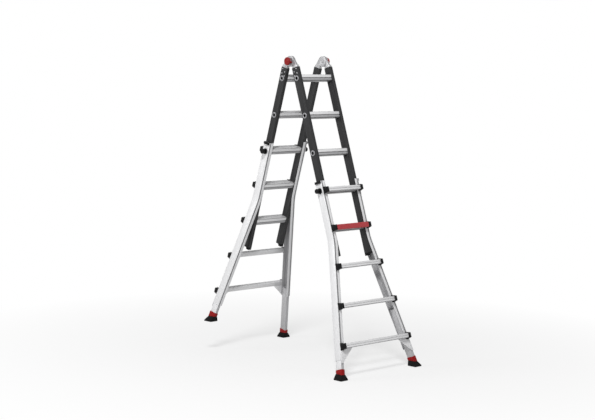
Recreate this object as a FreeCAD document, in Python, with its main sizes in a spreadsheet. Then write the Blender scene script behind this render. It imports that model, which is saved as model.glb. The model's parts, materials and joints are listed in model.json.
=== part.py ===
import FreeCAD, Part
import math
import os
import re
import Sketcher

# Multi position ladder: two telescopic ladders joined by two locking hinges.
# Row frame: X across the stance, Y along the rungs, Z up, origin on the floor.
# Each ladder is drawn in its own frame, with its origin on the hinge axis: x points
# outward from the stance, z points up the stiles and y lies along the rungs.

SIZES = {
    # stance
    "pivot_x": -72.53,
    "pivot_y": -25.63,
    "right_angle": 18.8,
    "left_angle": 15.35,
    # ladders
    "rung_pitch": 280.0,
    "first_rung": 140.0,
    "stile_offset": 36.5,
    # inner stiles
    "inner_half_width": 182.5,
    "inner_stile_depth": 55.0,
    "inner_stile_width": 29.0,
    "inner_stile_wall": 2.0,
    "inner_stile_top": 58.0,
    "inner_stile_tail": 198.0,
    "stile_groove_width": 12.0,
    "stile_groove_depth": 0.8,
    "end_cap_step": 6.0,
    "end_cap_height": 19.0,
    # inner rungs
    "inner_rung_depth": 50.0,
    "inner_rung_height": 47.0,
    "inner_rung_wall": 1.8,
    "inner_rung_band": 23.0,
    "inner_rung_groove": 3.5,
    "neck_radius": 15.0,
    "neck_clearance": 0.3,
    "rung_bore_radius": 11.0,
    "flare_radius": 20.5,
    "flare_thickness": 3.0,
    "rib_height": 1.2,
    "rib_width": 3.0,
    # outer stiles
    "web_clearance": 11.5,
    "outer_stile_depth": 61.0,
    "outer_stile_width": 37.0,
    "outer_stile_wall": 2.4,
    "outer_stile_top": 70.0,
    "outer_stile_tail": 88.0,
    "flange_groove_width": 11.0,
    "flange_groove_depth": 1.2,
    "flange_groove_inset": 3.5,
    "flare_angle": 12.3,
    "flare_start": 374.0,
    "bend_radius": 400.0,
    # outer rungs
    "outer_rung_depth": 32.0,
    "outer_rung_height": 33.0,
    "outer_rung_wall": 1.8,
    "rung_cap_length": 28.0,
    "rung_cap_depth": 16.0,
    "rung_cap_height": 52.0,
    "rung_cap_fit": 0.3,
    "cover_thickness": 2.5,
    "cover_margin": 3.0,
    # hinges
    "hinge_disc_radius": 39.0,
    "hinge_plate": 4.0,
    "hinge_plate_gap": 0.5,
    "hinge_pin_radius": 7.0,
    "hinge_pin_head": 11.0,
    "hinge_pin_fit": 0.1,
    "hinge_shank_fit": 0.3,
    "hinge_shank_gap": 5.0,
    "hinge_block_top": 43.0,
    "hinge_stack_inset": 2.5,
    "lock_circle_radius": 25.0,
    "lock_dowel_half": 4.0,
    "lock_dowel_fit": 0.4,
    "dowel_travel": 8.5,
    "knob_radius": 29.5,
    "knob_thickness": 17.0,
    "knob_standoff": 12.0,
    # rung locks
    "lock_pin_radius": 9.0,
    "lock_pin_fit": 0.5,
    "lock_pin_rest": 1.5,
    "lock_pin_travel": 12.0,
    "lock_knob_radius": 18.0,
    "lock_knob_thickness": 18.0,
    "housing_thickness": 10.0,
    "lock_base_radius": 20.0,
    "guide_height": 17.0,
    "guide_depth": 54.0,
    # legs and feet
    "leg_depth": 53.0,
    "leg_width": 26.0,
    "leg_wall": 3.0,
    "leg_fit": 0.6,
    "leg_length": 370.0,
    "stub_length": 150.0,
    "sole_drop": 225.5,
    "collar_height": 38.0,
    "collar_margin": 3.0,
    "rubber_height": 38.0,
    "rubber_lip": 9.0,
    "sole_depth": 74.0,
    "sole_width": 70.0,
    "lever_length": 42.0,
    "lever_width": 22.0,
    "lever_thickness": 7.0,
    "lever_gap": 0.3,
    "lever_pin_radius": 2.2,
    "lever_pin_inset": 5.0,
    "ear_thickness": 3.0,
    "lever_drop": 34.0,
    # gussets
    "gusset_reach": 88.0,
    "gusset_drop": 96.0,
    "gusset_thickness": 3.0,
}
RUNGS = 5
LADDERS = {"left": -1, "right": 1}
OUTER_FIRST_RUNG = {"left": 2, "right": 3}
SIDES = {"near": -1, "far": 1}
NECK_SIDES = 8
FLARE_SIDES = 12
GRIP_SIDES = 12
DISC_SIDES = 32

doc = FreeCAD.newDocument("multi_position_ladder")
sheet = doc.addObject("Spreadsheet::Sheet", "cells")
for row, (alias, size) in enumerate(SIZES.items(), start=1):
    sheet.set("A%d" % row, alias)
    sheet.set("B%d" % row, str(size))
    sheet.setAlias("B%d" % row, alias)
doc.recompute()
subparts = []


def bind(text):
    """Write each size's name in an expression as its cell in the sheet."""
    def as_cell(match):
        word = match.group(0)
        return "cells." + word if word in SIZES else word
    return re.sub(r"[a-z_]+", as_cell, text)


def signed(sign, text):
    """The expression, or its negative where sign is below zero."""
    return "(%s)" % text if sign > 0 else "(-(%s))" % text


def value(holder, text):
    """What an expression comes to with the present sizes."""
    result = holder.evalExpression(bind(text))
    return float(getattr(result, "Value", result))


# ---------------------------------------------------------------- places

SOLE = "(first_rung + %d * rung_pitch + sole_drop)"
WEB_FACE = "(inner_half_width + web_clearance)"
PIVOT_Z = "(%s * cos(right_angle) - stile_offset * sin(right_angle))" % (SOLE % 7)


def ladder_place(ladder):
    """The frame of one ladder, as a placement expression."""
    turn = "0" if ladder == "right" else "180"
    lean = "-right_angle" if ladder == "right" else "left_angle"
    return ("placement(vector(pivot_x; pivot_y; %s); rotation(vector(0; 1; 0); %s))"
            " * placement(vector(0; 0; 0); rotation(vector(0; 0; 1); %s))" % (PIVOT_Z, lean, turn))


def hand_of(ladder, side):
    """Which way outward is along a ladder's own y for a near or far piece."""
    return SIDES[side] * LADDERS[ladder]


def rung_drop(index):
    """How far rung number index, counted from 0, lies below the hinge axis."""
    return "(first_rung + %d * rung_pitch)" % index


def flare_drop(ladder):
    """How far below the hinge axis an outer stile starts to flare."""
    return "(%s + flare_start)" % rung_drop(OUTER_FIRST_RUNG[ladder])


def last_rung(ladder):
    """Index of an outer ladder's lowest rung, counted down the inner ladder's pitch."""
    return OUTER_FIRST_RUNG[ladder] + RUNGS - 1


def web_at(ladder, drop):
    """Half the width over the webs of an outer ladder at a drop below the hinge axis."""
    return "(%s + max(0; %s - %s) * tan(flare_angle))" % (WEB_FACE, drop, flare_drop(ladder))


def flare_place(ladder, side, along):
    """The frame on a flared stile's web face, with z up the stile, at a length along it."""
    hand = hand_of(ladder, side)
    return (ladder_place(ladder)
            + " * placement(vector(stile_offset; %s; -%s); rotation(vector(1; 0; 0); %s))"
            % (signed(hand, WEB_FACE), flare_drop(ladder), signed(hand, "flare_angle"))
            + " * placement(vector(0; 0; -(%s)); rotation(vector(0; 0; 1); %d))"
            % (along, 0 if hand > 0 else 180))


def along_flare(ladder, drop):
    """Length along a flared stile from the start of the flare to a drop below the hinge axis."""
    return "((%s - %s) / cos(flare_angle))" % (drop, flare_drop(ladder))


LEVEL_DROP = "((%s + stile_offset * sin(left_angle)) / cos(left_angle))" % PIVOT_Z
LEVELLING = "((%s - %s) / cos(flare_angle))" % (LEVEL_DROP, SOLE % 6)


# ---------------------------------------------------------------- drawing

def new_body(name, place="placement(vector(0; 0; 0); rotation(vector(0; 0; 1); 0))"):
    """A body whose label is the sub-part's name, at its place in the row."""
    body = doc.addObject("PartDesign::Body", name)
    body.Label = name
    body.setExpression("Placement", bind(place))
    return body


def new_sketch(body, role, lift):
    """An empty sketch on one of the body's own planes, lifted along the plane's normal."""
    sketch = body.newObject("Sketcher::SketchObject", "outline")
    plane = [item for item in body.Origin.OriginFeatures if item.Role == role][0]
    sketch.AttachmentSupport = [(plane, "")]
    sketch.MapMode = "FlatFace"
    sketch.setExpression("AttachmentOffset.Base.z", bind(lift))
    return sketch


def place_point(sketch, geometry, end, point, start):
    """Tie one point of a sketch to a pair of expressions."""
    for axis, text, number in zip(("DistanceX", "DistanceY"), point, start):
        tie = sketch.addConstraint(Sketcher.Constraint(axis, -1, 1, geometry, end, number))
        sketch.setExpression("Constraints[%d]" % tie, bind(text))


def draw_polygon(sketch, points):
    """A closed outline through points that are pairs of expressions."""
    starts = [(value(sketch, across), value(sketch, up)) for across, up in points]
    first = sketch.GeometryCount
    count = len(points)
    for index in range(count):
        here = FreeCAD.Vector(*starts[index], 0)
        there = FreeCAD.Vector(*starts[(index + 1) % count], 0)
        sketch.addGeometry(Part.LineSegment(here, there), False)
    for index in range(count):
        following = first + (index + 1) % count
        sketch.addConstraint(Sketcher.Constraint("Coincident", first + index, 2, following, 1))
    for index in range(count):
        place_point(sketch, first + index, 1, points[index], starts[index])


def draw_circle(sketch, centre, radius):
    """A circle with its centre and radius tied to expressions."""
    start = (value(sketch, centre[0]), value(sketch, centre[1]))
    size = value(sketch, radius)
    up = FreeCAD.Vector(0, 0, 1)
    number = sketch.addGeometry(Part.Circle(FreeCAD.Vector(*start, 0), up, size), False)
    place_point(sketch, number, 3, centre, start)
    tie = sketch.addConstraint(Sketcher.Constraint("Radius", number, size))
    sketch.setExpression("Constraints[%d]" % tie, bind(radius))


def regular(radius, count, centre=("0", "0")):
    """The corners of a regular polygon that fits round a circle, flat side down."""
    corners = []
    for index in range(count):
        bearing = (index + 0.5) * 360 / count
        reach = "(%s) / cos(%s)" % (radius, 180 / count)
        corners.append(("%s + %s * cos(%s)" % (centre[0], reach, bearing),
                        "%s + %s * sin(%s)" % (centre[1], reach, bearing)))
    return corners


def rectangle(left, right, low, high):
    """The four corners of a rectangle, as expressions."""
    return [(left, low), (right, low), (right, high), (left, high)]


def extrude(body, kind, role, start, length, polygons=(), circles=()):
    """Pad or pocket outlines, from a distance along the plane's normal, both ways by half."""
    sketch = new_sketch(body, role, "(%s) + (%s) / 2" % (start, length))
    for points in polygons:
        draw_polygon(sketch, points)
    for centre, radius in circles:
        draw_circle(sketch, centre, radius)
    feature = body.newObject("PartDesign::" + kind, kind.lower())
    feature.Profile = sketch
    feature.Midplane = True
    feature.setExpression("Length", bind(length))
    body.Tip = feature
    return feature


def keep(item):
    """Record a finished sub-part."""
    subparts.append(item)
    return item


def group(name, items):
    """Separate solids of one kind that share a node."""
    bundle = doc.addObject("Part::Compound", name)
    bundle.Label = name
    bundle.Links = items
    return keep(bundle)


# ---------------------------------------------------------------- inner ladders

def inner_stile(ladder, side):
    """A hollow stile with a guide groove down its front and back, pierced for the rungs."""
    body = new_body("%s_inner_stile_%s" % (ladder, side), ladder_place(ladder))
    hand = hand_of(ladder, side)
    middle = signed(hand, "inner_half_width - inner_stile_width / 2")
    length = "%s + inner_stile_tail - inner_stile_top" % rung_drop(RUNGS - 1)
    front = "stile_offset + inner_stile_depth / 2"
    back = "stile_offset - inner_stile_depth / 2"
    low = "%s - inner_stile_width / 2" % middle
    high = "%s + inner_stile_width / 2" % middle
    groove = [("%s - stile_groove_width / 2" % middle), ("%s + stile_groove_width / 2" % middle)]
    outline = [(back, low), (front, low),
               (front, groove[0]), (front + " - stile_groove_depth", groove[0]),
               (front + " - stile_groove_depth", groove[1]), (front, groove[1]),
               (front, high), (back, high),
               (back, groove[1]), (back + " + stile_groove_depth", groove[1]),
               (back + " + stile_groove_depth", groove[0]), (back, groove[0])]
    inset = " inner_stile_wall"
    hollow = rectangle(back + " + stile_groove_depth +" + inset, front + " - stile_groove_depth -" + inset,
                       low + " +" + inset, high + " -" + inset)
    start = "-(%s) - inner_stile_top" % length
    extrude(body, "Pad", "XY_Plane", start, length, [outline, hollow])
    holes = [regular("neck_radius + neck_clearance", NECK_SIDES, ("stile_offset", "-%s" % rung_drop(index)))
             for index in range(1, RUNGS)]
    socket = (("stile_offset", "-first_rung"), "neck_radius + neck_clearance")
    extrude(body, "Pocket", "XZ_Plane", "-(%s) - inner_stile_width" % middle, "inner_stile_width * 2",
            holes, [socket])
    return keep(body)


def stile_end_caps(ladder):
    """Stepped plastic end pieces that close the lower ends of the inner stiles."""
    caps = []
    top = "-(%s + inner_stile_tail)" % rung_drop(RUNGS - 1)
    back = "stile_offset - inner_stile_depth / 2"
    front = "stile_offset + inner_stile_depth / 2"
    outline = [(back, top), (front, top), (front, top + " - end_cap_step"),
               ("stile_offset + end_cap_step / 2", top + " - end_cap_step"),
               ("stile_offset - end_cap_step / 2", top + " - end_cap_height"),
               (back, top + " - end_cap_height")]
    for side in SIDES:
        body = new_body("%s_stile_cap_%s" % (ladder, side), ladder_place(ladder))
        middle = signed(hand_of(ladder, side), "inner_half_width - inner_stile_width / 2")
        extrude(body, "Pad", "XZ_Plane", "-(%s) - inner_stile_width / 2" % middle,
                "inner_stile_width", [outline])
        caps.append(body)
    group("%s_stile_end_caps" % ladder, caps)


def ribbed_top(left, right, top, count):
    """Points across a ribbed tread, from its right edge to its left."""
    points = []
    for index in reversed(range(count)):
        middle = "(%s) + ((%s) - (%s)) * %d / %d" % (left, right, left, 2 * index + 1, 2 * count)
        points.append((middle + " + rib_width / 2", top + " - rib_height"))
        points.append((middle + " + rib_width / 2", top))
        points.append((middle + " - rib_width / 2", top))
        points.append((middle + " - rib_width / 2", top + " - rib_height"))
    return points


def inner_rung(ladder, number):
    """A hollow ribbed rung with necks through the stiles, flared over outside them."""
    drop = rung_drop(number - 1)
    lowered = " * placement(vector(stile_offset; 0; -%s); rotation(vector(0; 0; 1); 0))" % drop
    body = new_body("%s_inner_rung_%d" % (ladder, number), ladder_place(ladder) + lowered)
    clear = "inner_half_width - inner_stile_width"
    half = "inner_rung_depth / 2"
    edge = half + " - inner_rung_groove"
    top = "inner_rung_height / 2"
    band = top + " - inner_rung_band"
    waist = band + " - inner_rung_groove * 1.5"
    lower_right = [("inner_rung_depth * 0.3", "-" + top),
                   ("inner_rung_depth * 0.42", "-inner_rung_height * 0.4"),
                   (half + " - inner_rung_groove / 2", waist), (edge, waist), (edge, band), (half, band),
                   (half, top + " - inner_rung_groove"), (edge, top + " - rib_height")]
    lower_left = [("-(%s)" % across, up) for across, up in reversed(lower_right)]
    treads = ribbed_top("-(%s)" % edge, edge, top, 5)
    outline = lower_right + treads + lower_left
    extrude(body, "Pad", "XZ_Plane", "-(%s)" % clear, "2 * (%s)" % clear, [outline])
    socket = number == 1
    neck = [] if socket else [regular("neck_radius", NECK_SIDES)]
    round_neck = [(("0", "0"), "neck_radius")] if socket else []
    extrude(body, "Pad", "XZ_Plane", "-inner_half_width", "2 * inner_half_width", neck, round_neck)
    for start in ("inner_half_width", "-inner_half_width - flare_thickness"):
        extrude(body, "Pad", "XZ_Plane", start, "flare_thickness", [regular("flare_radius", FLARE_SIDES)])
    side = half + " - inner_rung_groove - inner_rung_wall"
    ceiling = top + " - rib_height - inner_rung_wall"
    cavity_right = [("inner_rung_depth * 0.3 - inner_rung_wall / 2", "inner_rung_wall - " + top),
                    ("inner_rung_depth * 0.42 - inner_rung_wall", "-inner_rung_height * 0.4"),
                    (side, waist), (side, ceiling + " - inner_rung_groove"),
                    (side + " - inner_rung_groove", ceiling)]
    cavity = cavity_right + [("-(%s)" % across, up) for across, up in reversed(cavity_right)]
    room = clear + " - inner_rung_wall * 2"
    extrude(body, "Pocket", "XZ_Plane", "-(%s)" % room, "2 * (%s)" % room, [cavity])
    bore = [] if socket else [regular("rung_bore_radius", FLARE_SIDES)]
    round_bore = [(("0", "0"), "rung_bore_radius")] if socket else []
    extrude(body, "Pocket", "XZ_Plane", "-inner_half_width - flare_thickness * 2",
            "2 * (inner_half_width + flare_thickness * 2)", bore, round_bore)
    return keep(body)


# ---------------------------------------------------------------- outer ladders

def outer_stile(ladder, side):
    """A channel stile that slides round the inner stile and flares out towards its foot."""
    name = "%s_outer_stile_%s" % (ladder, side)
    body = new_body(name, ladder_place(ladder))
    hand = hand_of(ladder, side)
    top = "%s - outer_stile_top" % rung_drop(OUTER_FIRST_RUNG[ladder])
    bottom = "%s + outer_stile_tail" % rung_drop(last_rung(ladder))
    web = WEB_FACE
    lip = WEB_FACE + " - outer_stile_width"
    front = "stile_offset + outer_stile_depth / 2"
    back = "stile_offset - outer_stile_depth / 2"
    wall = "outer_stile_wall"
    high = web + " - flange_groove_inset"
    low = high + " - flange_groove_width"
    front_dip = front + " - flange_groove_depth"
    back_dip = back + " + flange_groove_depth"
    outline = [(front, lip), (front, low), (front_dip, low), (front_dip, high), (front, high), (front, web),
               (back, web), (back, high), (back_dip, high), (back_dip, low), (back, low), (back, lip),
               (back + " + " + wall, lip), (back + " + " + wall, web + " - " + wall),
               (front + " - " + wall, web + " - " + wall), (front + " - " + wall, lip)]
    section = new_sketch(body, "XY_Plane", "-(%s)" % top)
    draw_polygon(section, [(across, signed(hand, up)) for across, up in outline])
    section.Label = name + "_section"
    spine = new_sketch(body, "YZ_Plane", "stile_offset")
    draw_flared_line(spine, hand, top, flare_drop(ladder), bottom)
    spine.Label = name + "_spine"
    pipe = body.newObject("PartDesign::AdditivePipe", "channel")
    pipe.Profile = section
    pipe.Spine = (spine, ["Edge1", "Edge2", "Edge3"])
    body.Tip = pipe
    level = "-%s" % rung_drop(OUTER_FIRST_RUNG[ladder])
    middle = signed(hand, web + " - outer_stile_wall / 2")
    extrude(body, "Pocket", "XZ_Plane", "-(%s) - outer_stile_wall" % middle, "outer_stile_wall * 2",
            circles=[(("stile_offset", level), "lock_pin_radius + lock_pin_fit")])
    return keep(body)


def draw_flared_line(sketch, hand, top, bend, bottom):
    """A straight run down, an arc outward and a straight flared run, tangent to each other."""
    setback = "bend_radius * tan(flare_angle / 2)"
    side = signed(hand, WEB_FACE)
    turn_y = signed(hand, "%s + (%s) * sin(flare_angle)" % (WEB_FACE, setback))
    end_y = signed(hand, "%s + (%s - %s) * tan(flare_angle)" % (WEB_FACE, bottom, bend))
    points = [(side, "-(%s)" % top), (side, "-(%s) + %s" % (bend, setback)),
              (turn_y, "-(%s) - (%s) * cos(flare_angle)" % (bend, setback)), (end_y, "-(%s)" % bottom)]
    starts = [FreeCAD.Vector(value(sketch, across), value(sketch, up), 0) for across, up in points]
    swing = math.radians(value(sketch, "flare_angle"))
    radius = value(sketch, "bend_radius")
    centre = starts[1] + FreeCAD.Vector(hand * radius, 0, 0)
    halfway = centre + FreeCAD.Vector(-hand * math.cos(swing / 2), -math.sin(swing / 2), 0) * radius
    sketch.addGeometry(Part.LineSegment(starts[0], starts[1]), False)
    arc = Part.Arc(starts[1], halfway, starts[2])
    sketch.addGeometry(arc, False)
    sketch.addGeometry(Part.LineSegment(starts[2], starts[3]), False)
    first, last = (1, 2) if hand > 0 else (2, 1)
    sketch.addConstraint(Sketcher.Constraint("Coincident", 0, 2, 1, first))
    sketch.addConstraint(Sketcher.Constraint("Coincident", 1, last, 2, 1))
    place_point(sketch, 0, 1, points[0], starts[0])
    place_point(sketch, 0, 2, points[1], starts[1])
    place_point(sketch, 2, 1, points[2], starts[2])
    place_point(sketch, 2, 2, points[3], starts[3])
    tie = sketch.addConstraint(Sketcher.Constraint("Radius", 1, radius))
    sketch.setExpression("Constraints[%d]" % tie, bind("bend_radius"))


def outer_rung_place(ladder, number):
    """The frame of an outer rung, with its origin where its back meets the stiles."""
    drop = rung_drop(OUTER_FIRST_RUNG[ladder] + number - 1)
    corner = "vector(stile_offset + outer_stile_depth / 2; 0; -%s)" % drop
    return ladder_place(ladder) + " * placement(%s; rotation(vector(0; 0; 1); 0))" % corner


def outer_rung(ladder, number):
    """A ribbed tube across the front of the outer stiles, longer where they flare."""
    body = new_body("%s_outer_rung_%d" % (ladder, number), outer_rung_place(ladder, number))
    web = web_at(ladder, rung_drop(OUTER_FIRST_RUNG[ladder] + number - 1))
    half = "(%s - rung_cap_length + rung_cap_depth)" % web
    top = "outer_rung_height / 2"
    front = "outer_rung_depth"
    outline = [("0", "-" + top), (front + " - rib_width", "-" + top), (front, "rib_width - " + top),
               (front, "-rib_width / 2"), (front + " - rib_height", "-rib_width / 2"),
               (front + " - rib_height", "rib_width / 2"), (front, "rib_width / 2"),
               (front, top + " - rib_width"), (front + " - rib_height", top + " - rib_height")]
    outline += ribbed_top("rib_width", front + " - rib_width", top, 3) + [("0", top + " - rib_height")]
    wall = "outer_rung_wall"
    hollow = rectangle(wall, "%s - %s - rib_height - rib_width / 2" % (front, wall),
                       "%s + rib_width / 2 - %s" % (wall, top), "%s - %s - rib_height" % (top, wall))
    extrude(body, "Pad", "XZ_Plane", "-" + half, "2 * " + half, [outline, hollow])
    return keep(body)


def rung_caps(ladder):
    """Wedge-shaped end brackets that hold both ends of every outer rung on the stiles."""
    caps = []
    top = "rung_cap_height / 2"
    reach = "outer_rung_depth + outer_rung_wall"
    small = "outer_rung_height / 2 + outer_rung_wall"
    wedge = [("0", "-" + top), (reach, "-(%s)" % small), (reach, small), ("0", top)]
    socket = rectangle("-rung_cap_fit", "outer_rung_depth + rung_cap_fit",
                       "-outer_rung_height / 2 - rung_cap_fit", "outer_rung_height / 2 + rung_cap_fit")
    for number in range(1, RUNGS + 1):
        web = web_at(ladder, rung_drop(OUTER_FIRST_RUNG[ladder] + number - 1))
        for side in SIDES:
            hand = hand_of(ladder, side)
            body = new_body("%s_rung_cap_%d_%s" % (ladder, number, side), outer_rung_place(ladder, number))
            start = "-%s" % web if hand > 0 else "%s - rung_cap_length" % web
            mouth = ("rung_cap_length - rung_cap_depth - %s - rung_cap_fit" if hand > 0
                     else "%s - rung_cap_length - 1") % web
            extrude(body, "Pad", "XZ_Plane", start, "rung_cap_length", [wedge])
            extrude(body, "Pocket", "XZ_Plane", mouth, "rung_cap_depth + rung_cap_fit + 1", [socket])
            caps.append(body)
    group("%s_rung_caps" % ladder, caps)


def gussets(ladder):
    """Corner plates under the lowest outer rung, one at each stile."""
    plates = []
    level = "(%s + outer_rung_height / 2)" % rung_drop(last_rung(ladder))
    foot = "(%s + gusset_drop)" % level
    under_cap = "(%s + rung_cap_height / 2 + rung_cap_fit)" % rung_drop(last_rung(ladder))
    edge = "(%s - rung_cap_length - rung_cap_fit)" % web_at(ladder, rung_drop(last_rung(ladder)))
    outline = [(edge + " - gusset_reach", "-" + level), (edge, "-" + level), (edge, "-" + under_cap),
               (web_at(ladder, under_cap) + " - outer_stile_wall", "-" + under_cap),
               (web_at(ladder, foot) + " - outer_stile_wall", "-" + foot),
               (web_at(ladder, foot) + " - outer_stile_width / 2", "-" + foot)]
    for side in SIDES:
        hand = hand_of(ladder, side)
        body = new_body("%s_gusset_%s" % (ladder, side), ladder_place(ladder))
        extrude(body, "Pad", "YZ_Plane", "stile_offset + outer_stile_depth / 2", "gusset_thickness",
                [[(signed(hand, across), up) for across, up in outline]])
        plates.append(body)
    group("%s_gussets" % ladder, plates)


def tread_cover():
    """A coloured cover clipped round the front of the right outer ladder's second rung."""
    body = new_body("tread_cover", outer_rung_place("right", 2))
    web = web_at("right", rung_drop(OUTER_FIRST_RUNG["right"] + 1))
    half = "(%s - rung_cap_length - cover_margin)" % web
    top = "outer_rung_height / 2"
    skin_top = top + " + cover_thickness"
    front = "outer_rung_depth"
    skin_front = front + " + cover_thickness"
    lip = front + " / 2"
    outline = [("rib_width", top), (front, top), (front, "-" + top), (lip, "-" + top),
               (lip, "-(%s)" % skin_top), (skin_front, "-(%s)" % skin_top),
               (skin_front, skin_top), ("rib_width", skin_top)]
    extrude(body, "Pad", "XZ_Plane", "-" + half, "2 * " + half, [outline])
    return keep(body)


# ---------------------------------------------------------------- hinges

STACK_OUT = "(inner_half_width - hinge_stack_inset)"
STACK_IN = "(inner_half_width - inner_stile_width + hinge_stack_inset)"
LEAF_STEP = "(hinge_plate + hinge_plate_gap)"


def leaf_plates(ladder):
    """How far from mid-plane each plate of a leaf starts: the left leaf's pair is outermost."""
    if ladder == "left":
        return [STACK_OUT + " - hinge_plate", STACK_IN]
    return ["%s - hinge_plate - %s" % (STACK_OUT, LEAF_STEP), "%s + %s" % (STACK_IN, LEAF_STEP)]


def dowel_bearings(ladder):
    """Bearings of a leaf's dowel holes, which meet at the stance and at both ends of the fold."""
    if ladder == "left":
        return ["0", "180"]
    fold = "(right_angle + left_angle)"
    return ["0", "180", "(0 - %s)" % fold, "(180 - %s)" % fold]


def leaf(ladder, side):
    """A double-plate hinge leaf: round cheeks on the hinge axis and a shank down in the stile."""
    body = new_body("%s_hinge_leaf_%s" % (ladder, side), ladder_place(ladder))
    hand = hand_of(ladder, side)
    half = "inner_stile_depth / 2 - stile_groove_depth - inner_stile_wall - hinge_shank_fit"
    outer = "(stile_offset + %s)" % half
    inner = "(stile_offset - (%s))" % half
    shoulder = "inner_stile_top"
    foot = "-(first_rung - neck_radius - hinge_shank_gap)"
    span = "sqrt(%s * %s + inner_stile_top * inner_stile_top)" % (outer, outer)
    touch = "(acos(hinge_disc_radius / %s) - atan(inner_stile_top / %s))" % (span, outer)
    outline = [("0", "0"), (inner, "-hinge_disc_radius * 0.75"), (inner, foot), (outer, foot),
               (outer, "-" + shoulder),
               ("hinge_disc_radius * cos(%s)" % touch, "hinge_disc_radius * sin(%s)" % touch)]
    for start in leaf_plates(ladder):
        level = "-(%s) - hinge_plate" % start if hand > 0 else start
        extrude(body, "Pad", "XZ_Plane", level, "hinge_plate", [outline])
        extrude(body, "Pad", "XZ_Plane", level, "hinge_plate", [regular("hinge_disc_radius", DISC_SIDES)])
    block = rectangle(inner, outer, foot, "-hinge_block_top")
    depth = "(inner_stile_width - 2 * hinge_stack_inset)"
    extrude(body, "Pad", "XZ_Plane", "-%s" % STACK_OUT if hand > 0 else STACK_IN, depth, [block])
    middle = signed(-hand, "inner_half_width - inner_stile_width / 2")
    extrude(body, "Pocket", "XZ_Plane", middle + " - inner_stile_width", "inner_stile_width * 2",
            circles=[(("0", "0"), "hinge_pin_radius + hinge_pin_fit")])
    pierce_for_dowels(body, ladder, hand)
    return body


def square_at(bearing, half):
    """The corners of a square on the lock circle, turned to face the hinge axis."""
    corners = []
    for out, along in ((-1, -1), (1, -1), (1, 1), (-1, 1)):
        reach = "(lock_circle_radius + %d * %s)" % (out, half)
        aside = "(%d * %s)" % (along, half)
        corners.append(("%s * cos(%s) - %s * sin(%s)" % (reach, bearing, aside, bearing),
                        "%s * sin(%s) + %s * cos(%s)" % (reach, bearing, aside, bearing)))
    return corners


def pierce_for_dowels(body, ladder, hand):
    """Cut the lock circle's windows in the outermost plate of a leaf."""
    start = leaf_plates(ladder)[0]
    low = "-(%s) - hinge_plate" % start if hand > 0 else start
    half = "(lock_dowel_half + lock_dowel_fit)"
    windows = [square_at(bearing, half) for bearing in dowel_bearings(ladder)]
    level = low + " - hinge_plate_gap / 2"
    extrude(body, "Pocket", "XZ_Plane", level, "hinge_plate + hinge_plate_gap", windows)


def hinge_leaves(ladder):
    """Both leaves of one ladder."""
    group("%s_hinge_leaves" % ladder, [leaf(ladder, side) for side in SIDES])


def lying(kind, name, radius, length, start, hand, place):
    """A round or prismatic bar along y from a distance off the mid-plane, towards its own side."""
    item = doc.addObject("Part::" + kind, name)
    item.setExpression("Circumradius" if kind == "Prism" else "Radius", bind(radius))
    item.setExpression("Height", bind(length))
    aside = "placement(vector(0; %s; 0); rotation(vector(1; 0; 0); %d))" % (signed(hand, start), -90 * hand)
    item.setExpression("Placement", bind(place + " * " + aside))
    return item


def box(name, place, sides, corner):
    """A block with its sides and its low corner given as expressions."""
    item = doc.addObject("Part::Box", name)
    for prop, text in zip(("Length", "Width", "Height"), sides):
        item.setExpression(prop, bind(text))
    item.setExpression("Placement", bind(
        place + " * placement(vector(%s; %s; %s); rotation(vector(0; 0; 1); 0))" % corner))
    return item


PIVOT_PLACE = "placement(vector(pivot_x; pivot_y; %s); rotation(vector(0; 1; 0); left_angle))" % PIVOT_Z


def fuse(name, items):
    """One solid of several."""
    result = doc.addObject("Part::MultiFuse", name)
    result.Label = name
    result.Shapes = items
    result.Refine = True
    return result


def cut(name, base, tool):
    """One solid less another."""
    result = doc.addObject("Part::Cut", name)
    result.Label = name
    result.Base = base
    result.Tool = tool
    return result


def hinge_pins():
    """The pivot pins, headed inside and carrying the knobs outside."""
    pins = []
    for side, hand in SIDES.items():
        start = "%s - hinge_plate_gap" % STACK_IN
        length = "inner_half_width + knob_standoff + hinge_plate_gap - (%s)" % start
        shaft = lying("Cylinder", "pin_shaft_" + side, "hinge_pin_radius", length, start, hand, PIVOT_PLACE)
        head = lying("Cylinder", "pin_head_" + side, "hinge_pin_head", "hinge_plate / 2",
                     "%s - hinge_plate / 2 - hinge_plate_gap / 2" % STACK_IN, hand, PIVOT_PLACE)
        pins.append(fuse("hinge_pin_" + side, [shaft, head]))
    group("hinge_pins", pins)


def hinge_knob(side):
    """A round release knob with two square dowels that lock the leaves when it is pushed home."""
    hand = SIDES[side]
    name = "hinge_knob_" + side
    face = "inner_half_width + knob_standoff"
    disc = lying("Prism", name + "_disc", "knob_radius", "knob_thickness", face, hand, PIVOT_PLACE)
    disc.Polygon = DISC_SIDES
    parts = [disc]
    reach = "(%s - (%s - hinge_plate + hinge_plate_gap / 2))" % (face, STACK_OUT)
    width = "2 * lock_dowel_half"
    low = "%s - %s" % (face, reach) if hand > 0 else "-(%s) - hinge_plate" % face
    sides = (width, reach + " + hinge_plate", width)
    for index, sign in enumerate(("", "-")):
        corner = (sign + "lock_circle_radius - lock_dowel_half", low, "-lock_dowel_half")
        parts.append(box("%s_dowel_%d" % (name, index), PIVOT_PLACE, sides, corner))
    solid = fuse(name + "_solid", parts)
    bore = lying("Cylinder", name + "_bore", "hinge_pin_radius + lock_dowel_fit",
                 "dowel_travel + hinge_plate_gap * 4", face + " - hinge_plate_gap * 2", hand, PIVOT_PLACE)
    return keep(cut(name, solid, bore))


# ---------------------------------------------------------------- rung locks

def lock_place(ladder):
    """The frame on the hinge plane level with an outer ladder's top rung."""
    return (ladder_place(ladder) + " * placement(vector(stile_offset; 0; -%s); rotation(vector(0; 0; 1); 0))"
            % rung_drop(OUTER_FIRST_RUNG[ladder]))


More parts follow.
